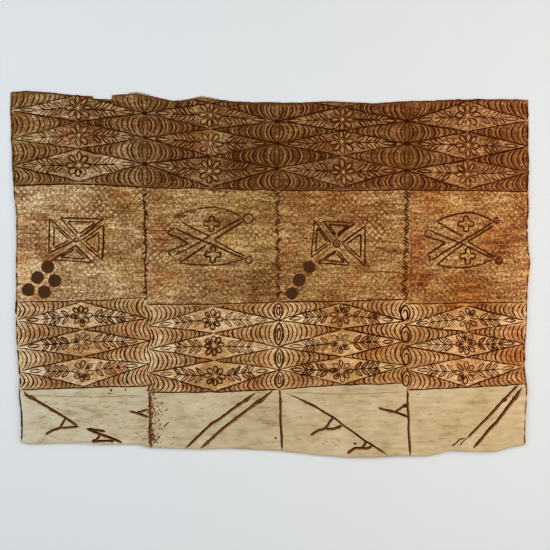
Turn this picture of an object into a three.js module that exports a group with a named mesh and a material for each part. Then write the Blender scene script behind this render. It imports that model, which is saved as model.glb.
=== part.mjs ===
// A printed and painted bark cloth, hung flat against a wall by its top edge.
//
// The cloth is one sheet of beaten, pasted bark, taller at its left corner and torn there once.
// Lengths are in millimetres. X runs to the right along the top edge and Z points up. The printed
// face looks towards -Y, and the wall is the plane Y = 0 behind the cloth. The origin is the
// middle of the top edge, on the wall.

import * as THREE from 'three';

// Thickness of the pasted layers of bark.
const THICKNESS = 1.2;

// Widest spacing of the columns and rows of facets.
const COLUMN_GAP = 50;
const ROW_GAP = 46;

// Height of the top strip whose back lies flat on the wall.
const FLAT_STRIP = 30;

// This far below the flat strip the cloth starts to come away from the wall, over this drop.
const COME_AWAY_GAP = 10;
const COME_AWAY_DROP = 320;

// How far the cloth stands off the wall at mid height and, more, at the hem.
const STAND_OFF_MIDDLE = 5;
const STAND_OFF_HEM = 4;

// The edges, a row for each turn: x along the cloth, z above the middle of the top edge.
// The steep steps near x = -728 and x = -652 are the sides of the torn notch.
const TOP_EDGE = [
  { x: -1073, z: 44 },
  { x: -984, z: 48 },
  { x: -851, z: 35 },
  { x: -731, z: 25 },
  { x: -726, z: 14 },
  { x: -655, z: 12 },
  { x: -650, z: 31 },
  { x: -545, z: 38 },
  { x: -452, z: 19 },
  { x: -386, z: 6 },
  { x: -286, z: 23 },
  { x: -137, z: 4 },
  { x: 0, z: 0 },
  { x: 129, z: 0 },
  { x: 262, z: 6 },
  { x: 444, z: -3 },
  { x: 577, z: 6 },
  { x: 826, z: 14 },
  { x: 1077, z: 11 },
];

const BOTTOM_EDGE = [
  { x: -1027, z: -1409 },
  { x: -990, z: -1417 },
  { x: -751, z: -1409 },
  { x: -700, z: -1417 },
  { x: -535, z: -1418 },
  { x: -494, z: -1431 },
  { x: -270, z: -1438 },
  { x: -154, z: -1434 },
  { x: 46, z: -1444 },
  { x: 191, z: -1461 },
  { x: 315, z: -1471 },
  { x: 428, z: -1471 },
  { x: 544, z: -1465 },
  { x: 660, z: -1467 },
  { x: 743, z: -1444 },
  { x: 942, z: -1446 },
  { x: 992, z: -1431 },
  { x: 1062, z: -1419 },
];

const LEFT_EDGE = [
  { x: -1073, z: 44 },
  { x: -1074, z: -60 },
  { x: -1059, z: -380 },
  { x: -1047, z: -470 },
  { x: -1050, z: -900 },
  { x: -1045, z: -1030 },
  { x: -1034, z: -1150 },
  { x: -1037, z: -1215 },
  { x: -1028, z: -1290 },
  { x: -1027, z: -1409 },
];

const RIGHT_EDGE = [
  { x: 1077, z: 11 },
  { x: 1075, z: -355 },
  { x: 1079, z: -430 },
  { x: 1071, z: -530 },
  { x: 1083, z: -670 },
  { x: 1074, z: -755 },
  { x: 1059, z: -1090 },
  { x: 1070, z: -1176 },
  { x: 1062, z: -1419 },
];

// Soft folds, a row for each. A fold runs through (x, z) and leans from upright by lean degrees.
// It rises by rise off the wall, fades out by width to each side and by reach along its length.
const FOLDS = [
  { name: 'left joint', x: -497, z: -760, lean: 1, width: 75, reach: 700, rise: 5 },
  { name: 'middle joint', x: 52, z: -820, lean: -1, width: 90, reach: 620, rise: 4 },
  { name: 'right joint', x: 582, z: -700, lean: 0, width: 70, reach: 760, rise: 6 },
  { name: 'left belly', x: -800, z: -640, lean: 14, width: 190, reach: 420, rise: 4 },
  { name: 'middle belly', x: -240, z: -900, lean: -11, width: 170, reach: 430, rise: 5 },
  { name: 'right belly', x: 850, z: -820, lean: 9, width: 160, reach: 460, rise: 4 },
  { name: 'raised hem left', x: -745, z: -1400, lean: 4, width: 70, reach: 170, rise: 7 },
  { name: 'raised hem right', x: 860, z: -1420, lean: -6, width: 130, reach: 190, rise: 8 },
  { name: 'low hem', x: 400, z: -1440, lean: 7, width: 120, reach: 240, rise: 5 },
];

// The crease along the top of the plain bottom strip, at this share of the cloth's height.
const CREASE_LEVEL = 0.842;
const CREASE_WIDTH = 20;
const CREASE_RISE = 4;

// The place between two rows of an edge table where the value of key is reached.
function along(table, key, value, wanted) {
  const forward = table[table.length - 1][key] > table[0][key] ? 1 : -1;
  let index = 0;
  while (index < table.length - 2 && forward * table[index + 1][key] < forward * value) {
    index += 1;
  }
  const low = table[index];
  const high = table[index + 1];
  const share = (value - low[key]) / (high[key] - low[key]);
  return low[wanted] + (high[wanted] - low[wanted]) * Math.min(Math.max(share, 0), 1);
}

function mix(low, high, share) {
  return low + (high - low) * share;
}

function smoothStep(value) {
  const share = Math.min(Math.max(value, 0), 1);
  return share * share * (3 - 2 * share);
}

// Fills the gaps between sorted places with equal steps no wider than gap.
function filled(places, gap) {
  const steps = [places[0]];
  for (let index = 1; index < places.length; index += 1) {
    const count = Math.ceil((places[index] - places[index - 1]) / gap);
    for (let step = 1; step <= count; step += 1) {
      steps.push(mix(places[index - 1], places[index], step / count));
    }
  }
  return steps;
}

const TOP_LEFT = TOP_EDGE[0];
const TOP_RIGHT = TOP_EDGE[TOP_EDGE.length - 1];
const BOTTOM_LEFT = BOTTOM_EDGE[0];
const BOTTOM_RIGHT = BOTTOM_EDGE[BOTTOM_EDGE.length - 1];
const TOP_WIDTH = TOP_RIGHT.x - TOP_LEFT.x;
const HEIGHT = TOP_LEFT.z - BOTTOM_LEFT.z;

// One point of the cloth, blended from its four edges: across from 0 to 1, down from 0 to 1.
function blendedPoint(across, down, key) {
  const topX = mix(TOP_LEFT.x, TOP_RIGHT.x, across);
  const bottomX = mix(BOTTOM_LEFT.x, BOTTOM_RIGHT.x, across);
  const leftZ = mix(TOP_LEFT.z, BOTTOM_LEFT.z, down);
  const rightZ = mix(TOP_RIGHT.z, BOTTOM_RIGHT.z, down);
  const top = key === 'x' ? topX : along(TOP_EDGE, 'x', topX, 'z');
  const bottom = key === 'x' ? bottomX : along(BOTTOM_EDGE, 'x', bottomX, 'z');
  const left = key === 'z' ? leftZ : along(LEFT_EDGE, 'z', leftZ, 'x');
  const right = key === 'z' ? rightZ : along(RIGHT_EDGE, 'z', rightZ, 'x');
  const upperCorners = mix(TOP_LEFT[key], TOP_RIGHT[key], across);
  const lowerCorners = mix(BOTTOM_LEFT[key], BOTTOM_RIGHT[key], across);
  return mix(top, bottom, down) + mix(left, right, across) - mix(upperCorners, lowerCorners, down);
}

// The rise of one soft fold at (x, z).
function foldRise(fold, x, z) {
  const lean = THREE.MathUtils.degToRad(fold.lean);
  const side = (x - fold.x) * Math.cos(lean) + (z - fold.z) * Math.sin(lean);
  const run = (z - fold.z) * Math.cos(lean) - (x - fold.x) * Math.sin(lean);
  return fold.rise * Math.exp(-((side / fold.width) ** 2) - (run / fold.reach) ** 2);
}

// How far the back of the cloth stands off the wall. It is 0 all over the flat top strip.
function standOff(x, z, down) {
  const loose = smoothStep((-FLAT_STRIP - COME_AWAY_GAP - z) / COME_AWAY_DROP);
  const crease = CREASE_RISE * Math.exp(-((((down - CREASE_LEVEL) * HEIGHT) / CREASE_WIDTH) ** 2));
  const folds = FOLDS.reduce((sum, fold) => sum + foldRise(fold, x, z), 0);
  return loose * (STAND_OFF_MIDDLE + STAND_OFF_HEM * down ** 2 + crease + folds);
}

function clothGeometry() {
  const columns = filled(
    TOP_EDGE.map((turn) => turn.x),
    COLUMN_GAP,
  ).map((x) => (x - TOP_LEFT.x) / TOP_WIDTH);
  const creaseStep = CREASE_WIDTH / HEIGHT;
  const rows = filled(
    [0, FLAT_STRIP / HEIGHT, CREASE_LEVEL - 2 * creaseStep, CREASE_LEVEL - creaseStep, CREASE_LEVEL,
      CREASE_LEVEL + creaseStep, CREASE_LEVEL + 2 * creaseStep, 1],
    ROW_GAP / HEIGHT,
  );

  const positions = [];
  for (const front of [true, false]) {
    for (const down of rows) {
      for (const across of columns) {
        const x = blendedPoint(across, down, 'x');
        const z = blendedPoint(across, down, 'z');
        const back = -standOff(x, z, down);
        positions.push(x, front ? back - THICKNESS : back, z);
      }
    }
  }

  const faces = [];
  const layer = rows.length * columns.length;
  const lastRow = rows.length - 1;
  const lastColumn = columns.length - 1;
  const place = (row, column) => row * columns.length + column;
  const quad = (a, b, c, d) => faces.push(a, b, c, a, c, d);

  for (let row = 0; row < lastRow; row += 1) {
    for (let column = 0; column < lastColumn; column += 1) {
      const corners = [
        place(row, column),
        place(row + 1, column),
        place(row + 1, column + 1),
        place(row, column + 1),
      ];
      quad(...corners);
      quad(...corners.reverse().map((corner) => corner + layer));
    }
  }

  // The rim joins the front layer to the back layer all the way round.
  const rim = [];
  for (let column = 0; column < lastColumn; column += 1) {
    rim.push(place(0, column));
  }
  for (let row = 0; row < lastRow; row += 1) {
    rim.push(place(row, lastColumn));
  }
  for (let column = lastColumn; column > 0; column -= 1) {
    rim.push(place(lastRow, column));
  }
  for (let row = lastRow; row > 0; row -= 1) {
    rim.push(place(row, 0));
  }
  rim.forEach((corner, index) => {
    const next = rim[(index + 1) % rim.length];
    quad(corner, next, next + layer, corner + layer);
  });

  const geometry = new THREE.BufferGeometry();
  geometry.setAttribute('position', new THREE.Float32BufferAttribute(positions, 3));
  geometry.setIndex(faces);
  geometry.computeVertexNormals();
  return geometry;
}

const barkMaterial = new THREE.MeshStandardMaterial({
  color: 0x8f6b45,
  roughness: 0.94,
  metalness: 0,
});

const cloth = new THREE.Mesh(clothGeometry(), barkMaterial);
cloth.name = 'bark_cloth';

const hanging = new THREE.Group();
hanging.add(cloth);

export default hanging;
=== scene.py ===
"""A printed and painted bark cloth, hung face on against a wall by its top edge.

The cloth is one thin sheet on the folds of its CAD solid. The painted lines are raised strokes of
dye that follow the sheet. Lengths are in metres and the frame is the CAD frame: X runs to the
right along the top edge, Z points up and the printed face looks towards -Y. Four panels stand
side by side, and four bands run across them: an upper band of pointed lozenges, a band of
figures, a lower band of lozenges and a pale strip.
"""

import logging
import math
import random
from dataclasses import dataclass, replace
from enum import Enum, IntEnum
from typing import ClassVar, Iterable, NamedTuple, Sequence

import bmesh
import bpy
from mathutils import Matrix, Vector, noise


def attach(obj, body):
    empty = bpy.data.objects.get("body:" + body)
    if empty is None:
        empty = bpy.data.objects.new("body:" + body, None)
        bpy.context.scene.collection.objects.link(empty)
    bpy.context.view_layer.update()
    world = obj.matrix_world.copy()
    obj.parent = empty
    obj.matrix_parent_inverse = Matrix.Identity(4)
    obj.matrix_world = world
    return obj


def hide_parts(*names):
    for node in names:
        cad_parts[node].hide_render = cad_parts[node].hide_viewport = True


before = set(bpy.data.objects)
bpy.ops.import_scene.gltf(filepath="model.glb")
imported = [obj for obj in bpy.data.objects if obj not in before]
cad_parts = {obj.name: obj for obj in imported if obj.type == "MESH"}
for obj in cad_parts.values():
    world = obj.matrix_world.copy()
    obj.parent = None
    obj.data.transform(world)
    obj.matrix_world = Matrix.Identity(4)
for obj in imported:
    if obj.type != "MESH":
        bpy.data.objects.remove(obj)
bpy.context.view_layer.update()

CLOTH_NODE = "bark_cloth"
BODY = "root"

# The cloth's panels, and how far its side edges lie from the middle.
PANELS = 4
HALF_SPAN = 1.07

LOG = logging.getLogger("bark_cloth")

# A table of readings: each row is a place and what is read there.
Readings = tuple[tuple[float, float], ...]
Colour = tuple[float, float, float]
# Tints at the cloth's left edge, its middle and its right edge: the cloth's own tone together with
# painted light, cooler at the left and warmer at the right.
Tints = tuple[Colour, Colour, Colour]


class Band(IntEnum):
    """The bands from the top edge down, which are also the sheet's first material slots."""

    UPPER_LOZENGES = 0
    FIGURES = 1
    LOWER_LOZENGES = 2
    PALE_STRIP = 3


class Spot(NamedTuple):
    """A place on the cloth seen face on, or a step from one place to another."""

    x: float
    z: float

    def plus(self, step: "Spot") -> "Spot":
        """Returns the spot that lies a step away."""
        return Spot(self.x + step.x, self.z + step.z)

    def ray(self, angle: float, far: float) -> "Spot":
        """Returns the spot that lies far away at an angle."""
        return Spot(self.x + far * math.cos(angle), self.z + far * math.sin(angle))

    def towards(self, other: "Spot", share: float) -> "Spot":
        """Returns the spot at a share of the way to another one."""
        return Spot(mix(self.x, other.x, share), mix(self.z, other.z, share))


# Several spots in turn.
Trail = tuple[Spot, ...]


def trail(*places: float) -> Trail:
    """Returns the spots of a trail, given as each one's x and z in turn."""
    return tuple(map(Spot, places[::2], places[1::2]))


def mix(low: float, high: float, share: float) -> float:
    """Returns the value at a share of the way from low to high."""
    return low + (high - low) * share


def smooth_step(value: float) -> float:
    """Returns a soft step from 0 to 1 over values from 0 to 1."""
    share = min(max(value, 0.0), 1.0)
    return share * share * (3.0 - 2.0 * share)


def reading(table: Readings, place: float) -> float:
    """Reads a table between its rows, and past its ends along its last steps.

    Args:
        table: Rows of place and reading, in rising or falling order of place.
        place: Where to read.

    Returns:
        The reading at the place.
    """
    forward = 1.0 if table[-1][0] > table[0][0] else -1.0
    index = 0
    while index < len(table) - 2 and forward * table[index + 1][0] < forward * place:
        index += 1
    (low, first), (high, second) = table[index], table[index + 1]
    return mix(first, second, (place - low) / (high - low))


def held(table: Readings, place: float) -> float:
    """Reads a table as reading does, but holds the end readings past its ends."""
    ends = sorted((table[0][0], table[-1][0]))
    return reading(table, min(max(place, ends[0]), ends[1]))


def linear(red: int, green: int, blue: int) -> Colour:
    """Turns a colour in screen values from 0 to 255 into the shader's linear values."""

    def part(value: int) -> float:
        """Turns one part of the colour."""
        share = value / 255.0
        return share / 12.92 if share <= 0.04045 else ((share + 0.055) / 1.055) ** 2.4

    return part(red), part(green), part(blue)


@dataclass(frozen=True)
class Fold:
    """A soft fold through (x, z) that leans from upright and fades to both sides and ends."""

    x: float
    z: float
    lean: float
    width: float
    reach: float
    rise: float

    def rise_at(self, spot: Spot) -> float:
        """Returns how far this fold lifts the cloth off the wall at a spot."""
        lean = math.radians(self.lean)
        side = (spot.x - self.x) * math.cos(lean) + (spot.z - self.z) * math.sin(lean)
        run = (spot.z - self.z) * math.cos(lean) - (spot.x - self.x) * math.sin(lean)
        return self.rise * math.exp(-((side / self.width) ** 2) - (run / self.reach) ** 2)


@dataclass(frozen=True)
class ClothShape:
    """The outline, folds and panel joints of the cloth, with the sizes of its CAD solid."""

    thickness: float = 0.0012
    flat_strip: float = 0.030
    come_away_gap: float = 0.010
    come_away_drop: float = 0.320
    stand_off_middle: float = 0.005
    stand_off_hem: float = 0.004
    crease_level: float = 0.842
    crease_width: float = 0.020
    crease_rise: float = 0.004
    cockle_rise: float = 0.0016
    cockle_size: float = 0.075
    fray: float = 0.0022
    top_edge: Readings = (
        (-1.073, 0.044), (-0.984, 0.048), (-0.851, 0.035), (-0.731, 0.025), (-0.726, 0.014),
        (-0.655, 0.012), (-0.650, 0.031), (-0.545, 0.038), (-0.452, 0.019), (-0.386, 0.006),
        (-0.286, 0.023), (-0.137, 0.004), (0.000, 0.000), (0.129, 0.000), (0.262, 0.006),
        (0.444, -0.003), (0.577, 0.006), (0.826, 0.014), (1.077, 0.011),
    )
    bottom_edge: Readings = (
        (-1.027, -1.409), (-0.990, -1.417), (-0.751, -1.409), (-0.700, -1.417), (-0.535, -1.418),
        (-0.494, -1.431), (-0.270, -1.438), (-0.154, -1.434), (0.046, -1.444), (0.191, -1.461),
        (0.315, -1.471), (0.428, -1.471), (0.544, -1.465), (0.660, -1.467), (0.743, -1.444),
        (0.942, -1.446), (0.992, -1.431), (1.062, -1.419),
    )
    # The rows of the upright lines are a height and the place of the line there.
    left_edge: Readings = (
        (0.044, -1.073), (-0.060, -1.074), (-0.380, -1.059), (-0.470, -1.047), (-0.900, -1.050),
        (-1.030, -1.045), (-1.150, -1.034), (-1.215, -1.037), (-1.290, -1.028), (-1.409, -1.027),
    )
    right_edge: Readings = (
        (0.011, 1.077), (-0.355, 1.075), (-0.430, 1.079), (-0.530, 1.071), (-0.670, 1.083),
        (-0.755, 1.074), (-1.090, 1.059), (-1.176, 1.070), (-1.419, 1.062),
    )
    left_joint: Readings = ((0.0, -0.516), (-0.790, -0.511), (-0.950, -0.498), (-1.430, -0.492))
    middle_joint: Readings = ((0.0, 0.032), (-0.830, 0.037), (-1.180, 0.044), (-1.450, 0.052))
    right_joint: Readings = (
        (0.0, 0.574), (-0.400, 0.570), (-0.820, 0.561), (-1.180, 0.570), (-1.450, 0.581),
    )
    folds: tuple[Fold, ...] = (
        Fold(x=-0.497, z=-0.760, lean=1, width=0.075, reach=0.700, rise=0.005),
        Fold(x=0.052, z=-0.820, lean=-1, width=0.090, reach=0.620, rise=0.004),
        Fold(x=0.582, z=-0.700, lean=0, width=0.070, reach=0.760, rise=0.006),
        Fold(x=-0.800, z=-0.640, lean=14, width=0.190, reach=0.420, rise=0.004),
        Fold(x=-0.240, z=-0.900, lean=-11, width=0.170, reach=0.430, rise=0.005),
        Fold(x=0.850, z=-0.820, lean=9, width=0.160, reach=0.460, rise=0.004),
        Fold(x=-0.745, z=-1.400, lean=4, width=0.070, reach=0.170, rise=0.007),
        Fold(x=0.860, z=-1.420, lean=-6, width=0.130, reach=0.190, rise=0.008),
        Fold(x=0.400, z=-1.440, lean=7, width=0.120, reach=0.240, rise=0.005),
    )

    @property
    def uprights(self) -> tuple[Readings, ...]:
        """Returns the side edges and panel joints from left to right."""
        return self.left_edge, self.left_joint, self.middle_joint, self.right_joint, self.right_edge

    def ragged(self, place: float, seed: float) -> float:
        """Returns how far a torn edge strays at a place along it."""
        coarse = noise.noise(Vector((place / 0.060, seed, 0.0)))
        fine = noise.noise(Vector((place / 0.017, seed, 5.0)))
        return self.fray * (coarse + 0.6 * fine)

    def top(self, x: float) -> float:
        """Returns the height of the top edge."""
        return held(self.top_edge, x) + self.ragged(x, 1.5)

    def bottom(self, x: float) -> float:
        """Returns the height of the hem."""
        return held(self.bottom_edge, x) + 0.6 * self.ragged(x, 2.5)

    def across(self, column: float, z: float) -> float:
        """Finds how far to the right a column of the cloth lies.

        Args:
            column: 0 at the left edge, 4 at the right edge, whole numbers at the panel joints.
            z: The height.

        Returns:
            The place along X.
        """
        panel = min(int(column), PANELS - 1)
        left, right = self.uprights[panel], self.uprights[panel + 1]
        ends = [held(left, z), held(right, z)]
        if panel == 0:
            ends[0] += self.ragged(z, 3.5)
        if panel == PANELS - 1:
            ends[1] += self.ragged(z, 4.5)
        return mix(ends[0], ends[1], column - panel)

    def column_at(self, spot: Spot) -> float:
        """Returns the column that passes through a spot, as across counts them."""
        lines = [held(upright, spot.z) for upright in self.uprights]
        panel = sum(1 for line in lines[1:-1] if spot.x > line)
        return panel + (spot.x - lines[panel]) / (lines[panel + 1] - lines[panel])

    def edge_spot(self, column: float, at_top: bool) -> Spot:
        """Returns the end of a column on the top edge or on the hem."""
        edge = self.top if at_top else self.bottom
        z = edge(self.across(column, 0.0 if at_top else -1.43))
        z = edge(self.across(column, z))
        return Spot(self.across(column, z), z)

    def holds(self, spot: Spot, margin: float) -> bool:
        """Says whether a spot lies on the cloth, at least a margin from its edges."""
        return (
            self.bottom(spot.x) + margin < spot.z < self.top(spot.x) - margin
            and self.across(0.0, spot.z) + margin < spot.x < self.across(PANELS, spot.z) - margin
        )

    def stand_off(self, spot: Spot) -> float:
        """Returns how far the back of the cloth stands off the wall at a spot."""
        top, bottom = held(self.top_edge, spot.x), held(self.bottom_edge, spot.x)
        down = (top - spot.z) / (top - bottom)
        loose = smooth_step((-self.flat_strip - self.come_away_gap - spot.z) / self.come_away_drop)
        off_crease = (down - self.crease_level) * (top - bottom)
        crease = self.crease_rise * math.exp(-((off_crease / self.crease_width) ** 2))
        folds = sum(fold.rise_at(spot) for fold in self.folds)
        return loose * (self.stand_off_middle + self.stand_off_hem * down**2 + crease + folds)

    def cockle(self, spot: Spot) -> float:
        """Returns the small waves of the beaten sheet, which only rise from the wall."""
        place = Vector((spot.x / self.cockle_size, 0.7, 0.75 * spot.z / self.cockle_size))
        wave = noise.noise(place) + 0.4 * noise.noise(2.3 * place)
        return self.cockle_rise * (0.5 + 0.35 * wave)

    def front(self, spot: Spot) -> float:
        """Returns the Y of the printed face at a spot."""
        return -self.stand_off(spot) - self.cockle(spot) - self.thickness


@dataclass(frozen=True)
class BandLine:
    """The line under a band: its height at the left, middle and right of each panel."""

    levels: tuple[tuple[float, float, float], ...]

    def level(self, panel: int, share: float) -> float:
        """Returns the line's height at a share of a panel's width."""
        left, middle, right = self.levels[panel]
        return reading(((0.0, left), (0.5, middle), (1.0, right)), share)


@dataclass(frozen=True)
class LozengeRows:
    """The heights of one panel's lozenge rows.

    The rows are counted down the panel. At the panel's middle the lozenges touch at 0, 1, 2 and
    3. At its joints their points meet in knots at 0.5, 1.5 and 2.5, with one knot above and one
    below them where the band ends.
    """

    first_row: float
    left_knots: tuple[float, float, float, float, float]
    touches: tuple[float, float, float, float]
    right_knots: tuple[float, float, float, float, float]
    last_row: float = 3.25

    def knot_rows(self) -> tuple[float, float, float, float, float]:
        """Returns the row count at each knot."""
        return self.first_row, 0.5, 1.5, 2.5, self.last_row

    def level(self, row: float, share: float) -> float:
        """Finds the height of a row.

        Args:
            row: The row count.
            share: The share of the panel's width, from its left joint.

        Returns:
            The height.
        """
        knots = self.left_knots if share < 0.5 else self.right_knots
        at_joint = reading(tuple(zip(self.knot_rows(), knots)), row)
        at_middle = reading(tuple(enumerate(self.touches)), row)
        return mix(at_joint, at_middle, 2.0 * min(share, 1.0 - share))

    def row_at(self, z: float, share: float) -> float:
        """Returns the row count at a height and a share of the panel's width."""
        steps = [0.25 * step for step in range(-4, 17)]
        levels = tuple((self.level(step, share), step) for step in steps)
        return held(levels, z)


@dataclass(frozen=True)
class Layout:
    """Where the bands and the lozenge rows lie."""

    upper_line: BandLine = BandLine((
        (-0.346, -0.338, -0.353),
        (-0.355, -0.358, -0.366),
        (-0.366, -0.367, -0.363),
        (-0.363, -0.367, -0.370),
    ))
    figure_line: BandLine = BandLine((
        (-0.828, -0.824, -0.809),
        (-0.840, -0.837, -0.828),
        (-0.828, -0.825, -0.818),
        (-0.836, -0.832, -0.828),
    ))
    lower_line: BandLine = BandLine((
        (-1.192, -1.182, -1.174),
        (-1.201, -1.201, -1.189),
        (-1.189, -1.171, -1.164),
        (-1.193, -1.181, -1.168),
    ))
    upper_rows: tuple[LozengeRows, ...] = (
        LozengeRows(-0.5, (0.077, -0.035, -0.154, -0.263, -0.346),
                    (0.031, -0.079, -0.193, -0.330), (0.062, -0.044, -0.147, -0.255, -0.353)),
        LozengeRows(-0.5, (0.062, -0.044, -0.147, -0.255, -0.355),
                    (-0.002, -0.110, -0.224, -0.353), (0.019, -0.079, -0.172, -0.274, -0.366)),
        LozengeRows(-0.5, (0.019, -0.079, -0.172, -0.274, -0.366),
                    (-0.019, -0.116, -0.222, -0.352), (0.025, -0.077, -0.172, -0.282, -0.363)),
        LozengeRows(-0.5, (0.025, -0.077, -0.172, -0.282, -0.363),
                    (0.006, -0.122, -0.239, -0.362), (0.032, -0.075, -0.181, -0.288, -0.370)),
    )
    lower_rows: tuple[LozengeRows, ...] = (
        LozengeRows(-0.25, (-0.828, -0.907, -1.015, -1.114, -1.192),
                    (-0.826, -0.940, -1.056, -1.178), (-0.809, -0.894, -0.990, -1.085, -1.174)),
        LozengeRows(-0.25, (-0.840, -0.926, -1.021, -1.121, -1.201),
                    (-0.845, -0.957, -1.069, -1.198), (-0.828, -0.903, -1.015, -1.106, -1.189)),
        LozengeRows(-0.25, (-0.828, -0.903, -1.015, -1.106, -1.189),
                    (-0.832, -0.938, -1.055, -1.169), (-0.818, -0.907, -0.990, -1.089, -1.164)),
        LozengeRows(-0.25, (-0.836, -0.921, -1.011, -1.106, -1.193),
                    (-0.843, -0.952, -1.056, -1.178), (-0.828, -0.907, -1.002, -1.094, -1.168)),
    )

    def line_under(self, band: Band) -> BandLine:
        """Returns the line under a band that has one."""
        return (self.upper_line, self.figure_line, self.lower_line)[band]

    def rows(self, band: Band) -> tuple[LozengeRows, ...]:
        """Returns the four panels' rows of a lozenge band."""
        return self.upper_rows if band == Band.UPPER_LOZENGES else self.lower_rows


class Grain(NamedTuple):
    """A noise: its cells for each unit, its finer layers, how strong they are, and its seed."""

    scale: float
    detail: float
    roughness: float
    seed: float


class Nodes:
    """A short way to lay out the nodes of one material."""

    def __init__(self, name: str) -> None:
        """Starts a material that has only its surface shader and output."""
        self.material = bpy.data.materials.new(name)
        self.material.use_nodes = True
        self.tree = self.material.node_tree
        self.shader = self.tree.nodes["Principled BSDF"]

    def add(self, kind: str, inputs: dict[int | str, object], **settings: object) -> bpy.types.Node:
        """Adds a node.

        Args:
            kind: The node's Blender type.
            inputs: What goes into its sockets: another node's output, or a value.
            settings: Its other settings.

        Returns:
            The node.
        """
        node = self.tree.nodes.new(kind)
        for key, value in settings.items():
            setattr(node, key, value)
        for key, value in inputs.items():
            if isinstance(value, bpy.types.NodeSocket):
                self.tree.links.new(value, node.inputs[key])
            else:
                node.inputs[key].default_value = value
        return node

    def math(self, operation: str, *values: object) -> bpy.types.NodeSocket:
        """Adds a Math node and returns its output."""
        node = self.add("ShaderNodeMath", dict(enumerate(values)), operation=operation)
        return node.outputs[0]

    def noise(self, place: bpy.types.NodeSocket, grain: Grain,
              stretch: Colour | None = None) -> bpy.types.NodeSocket:
        """Adds a noise and returns its value.

        Args:
            place: The coordinates it reads.
            grain: What the noise is like.
            stretch: Scales the coordinates along each axis, if given.

        Returns:
            The output from 0 to 1.
        """
        if stretch:
            place = self.add("ShaderNodeMapping", {"Vector": place, "Scale": stretch}).outputs[0]
        inputs = {"Vector": place, "W": grain.seed, "Scale": grain.scale, "Detail": grain.detail,
                  "Roughness": grain.roughness}
        node = self.add("ShaderNodeTexNoise", inputs, noise_dimensions="4D")
        return node.outputs["Fac"]

    def ramp(self, factor: bpy.types.NodeSocket,
             stops: Sequence[tuple[float, Colour]]) -> bpy.types.NodeSocket:
        """Adds a colour ramp and returns its colour.

        Args:
            factor: What it reads, from 0 to 1.
            stops: Each stop's place and linear colour.

        Returns:
            The colour output.
        """
        node = self.add("ShaderNodeValToRGB", {0: factor})
        elements = node.color_ramp.elements
        while len(elements) < len(stops):
            elements.new(0.5)
        for element, (place, colour) in zip(elements, stops):
            element.position = place
            element.color = (*colour, 1.0)
        return node.outputs[0]

    def blend(self, factor: object, first: object, second: object,
              kind: str = "MIX") -> bpy.types.NodeSocket:
        """Blends two colours by a factor and returns the result."""
        node = self.add("ShaderNodeMix", {0: factor}, data_type="RGBA", blend_type=kind)
        for key, value in ((6, first), (7, second)):
            if isinstance(value, bpy.types.NodeSocket):
                self.tree.links.new(value, node.inputs[key])
            else:
                node.inputs[key].default_value = (*value, 1.0)
        return node.outputs[2]

    def off_half(self, value: bpy.types.NodeSocket, strength: float,
                 base: bpy.types.NodeSocket) -> bpy.types.NodeSocket:
        """Adds to a base how far a value lies from one half, times a strength."""
        return self.math("MULTIPLY_ADD", self.math("SUBTRACT", value, 0.5), strength, base)

    def spread(self, value: bpy.types.NodeSocket, low: float, high: float,
               to_low: float, to_high: float) -> bpy.types.NodeSocket:
        """Maps a range of values to another range, held at its ends."""
        node = self.add("ShaderNodeMapRange", {0: value, 1: low, 2: high, 3: to_low, 4: to_high})
        return node.outputs[0]

    def places(self) -> bpy.types.NodeSocket:
        """Returns the object's own coordinates."""
        return self.add("ShaderNodeTexCoord", {}).outputs["Object"]

    def tone_and_light_across(self, colour: bpy.types.NodeSocket, place: bpy.types.NodeSocket,
             tints: Tints) -> bpy.types.NodeSocket:
        """Tints a colour across the cloth, redder and darker to the right: partly the cloth's own
        tone and partly painted light, a cool cast at the left and a warm cast at the right that
        stand for the cool and warm lamps.
        """
        parts = self.add("ShaderNodeSeparateXYZ", {0: place})
        # Painted light: the tints lay a cool cast at the left and a warm cast at the right into the
        # colour, for the cool and warm lamps, over the cloth's own tone.
        right = self.spread(parts.outputs[0], -HALF_SPAN, HALF_SPAN, 0.0, 1.0)
        tint = self.ramp(right, tuple(zip((0.0, 0.5, 1.0), tints)))
        return self.blend(1.0, colour, tint, "MULTIPLY")

    def finish(self, colour: bpy.types.NodeSocket, roughness: bpy.types.NodeSocket,
               height: bpy.types.NodeSocket, rise: float,
               gloss: float = 0.10) -> bpy.types.Material:
        """Joins the colour, roughness and relief to the surface.

        Args:
            colour: The base colour.
            roughness: The roughness.
            height: The relief from 0 to 1.
            rise: How far the relief rises, in metres.
            gloss: How much the surface mirrors.

        Returns:
            The material.
        """
        bump = self.add("ShaderNodeBump", {"Height": height, "Distance": rise, "Strength": 1.0})
        self.tree.links.new(colour, self.shader.inputs["Base Color"])
        self.tree.links.new(roughness, self.shader.inputs["Roughness"])
        self.tree.links.new(bump.outputs[0], self.shader.inputs["Normal"])
        self.shader.inputs["Specular IOR Level"].default_value = gloss
        return self.material


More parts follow.
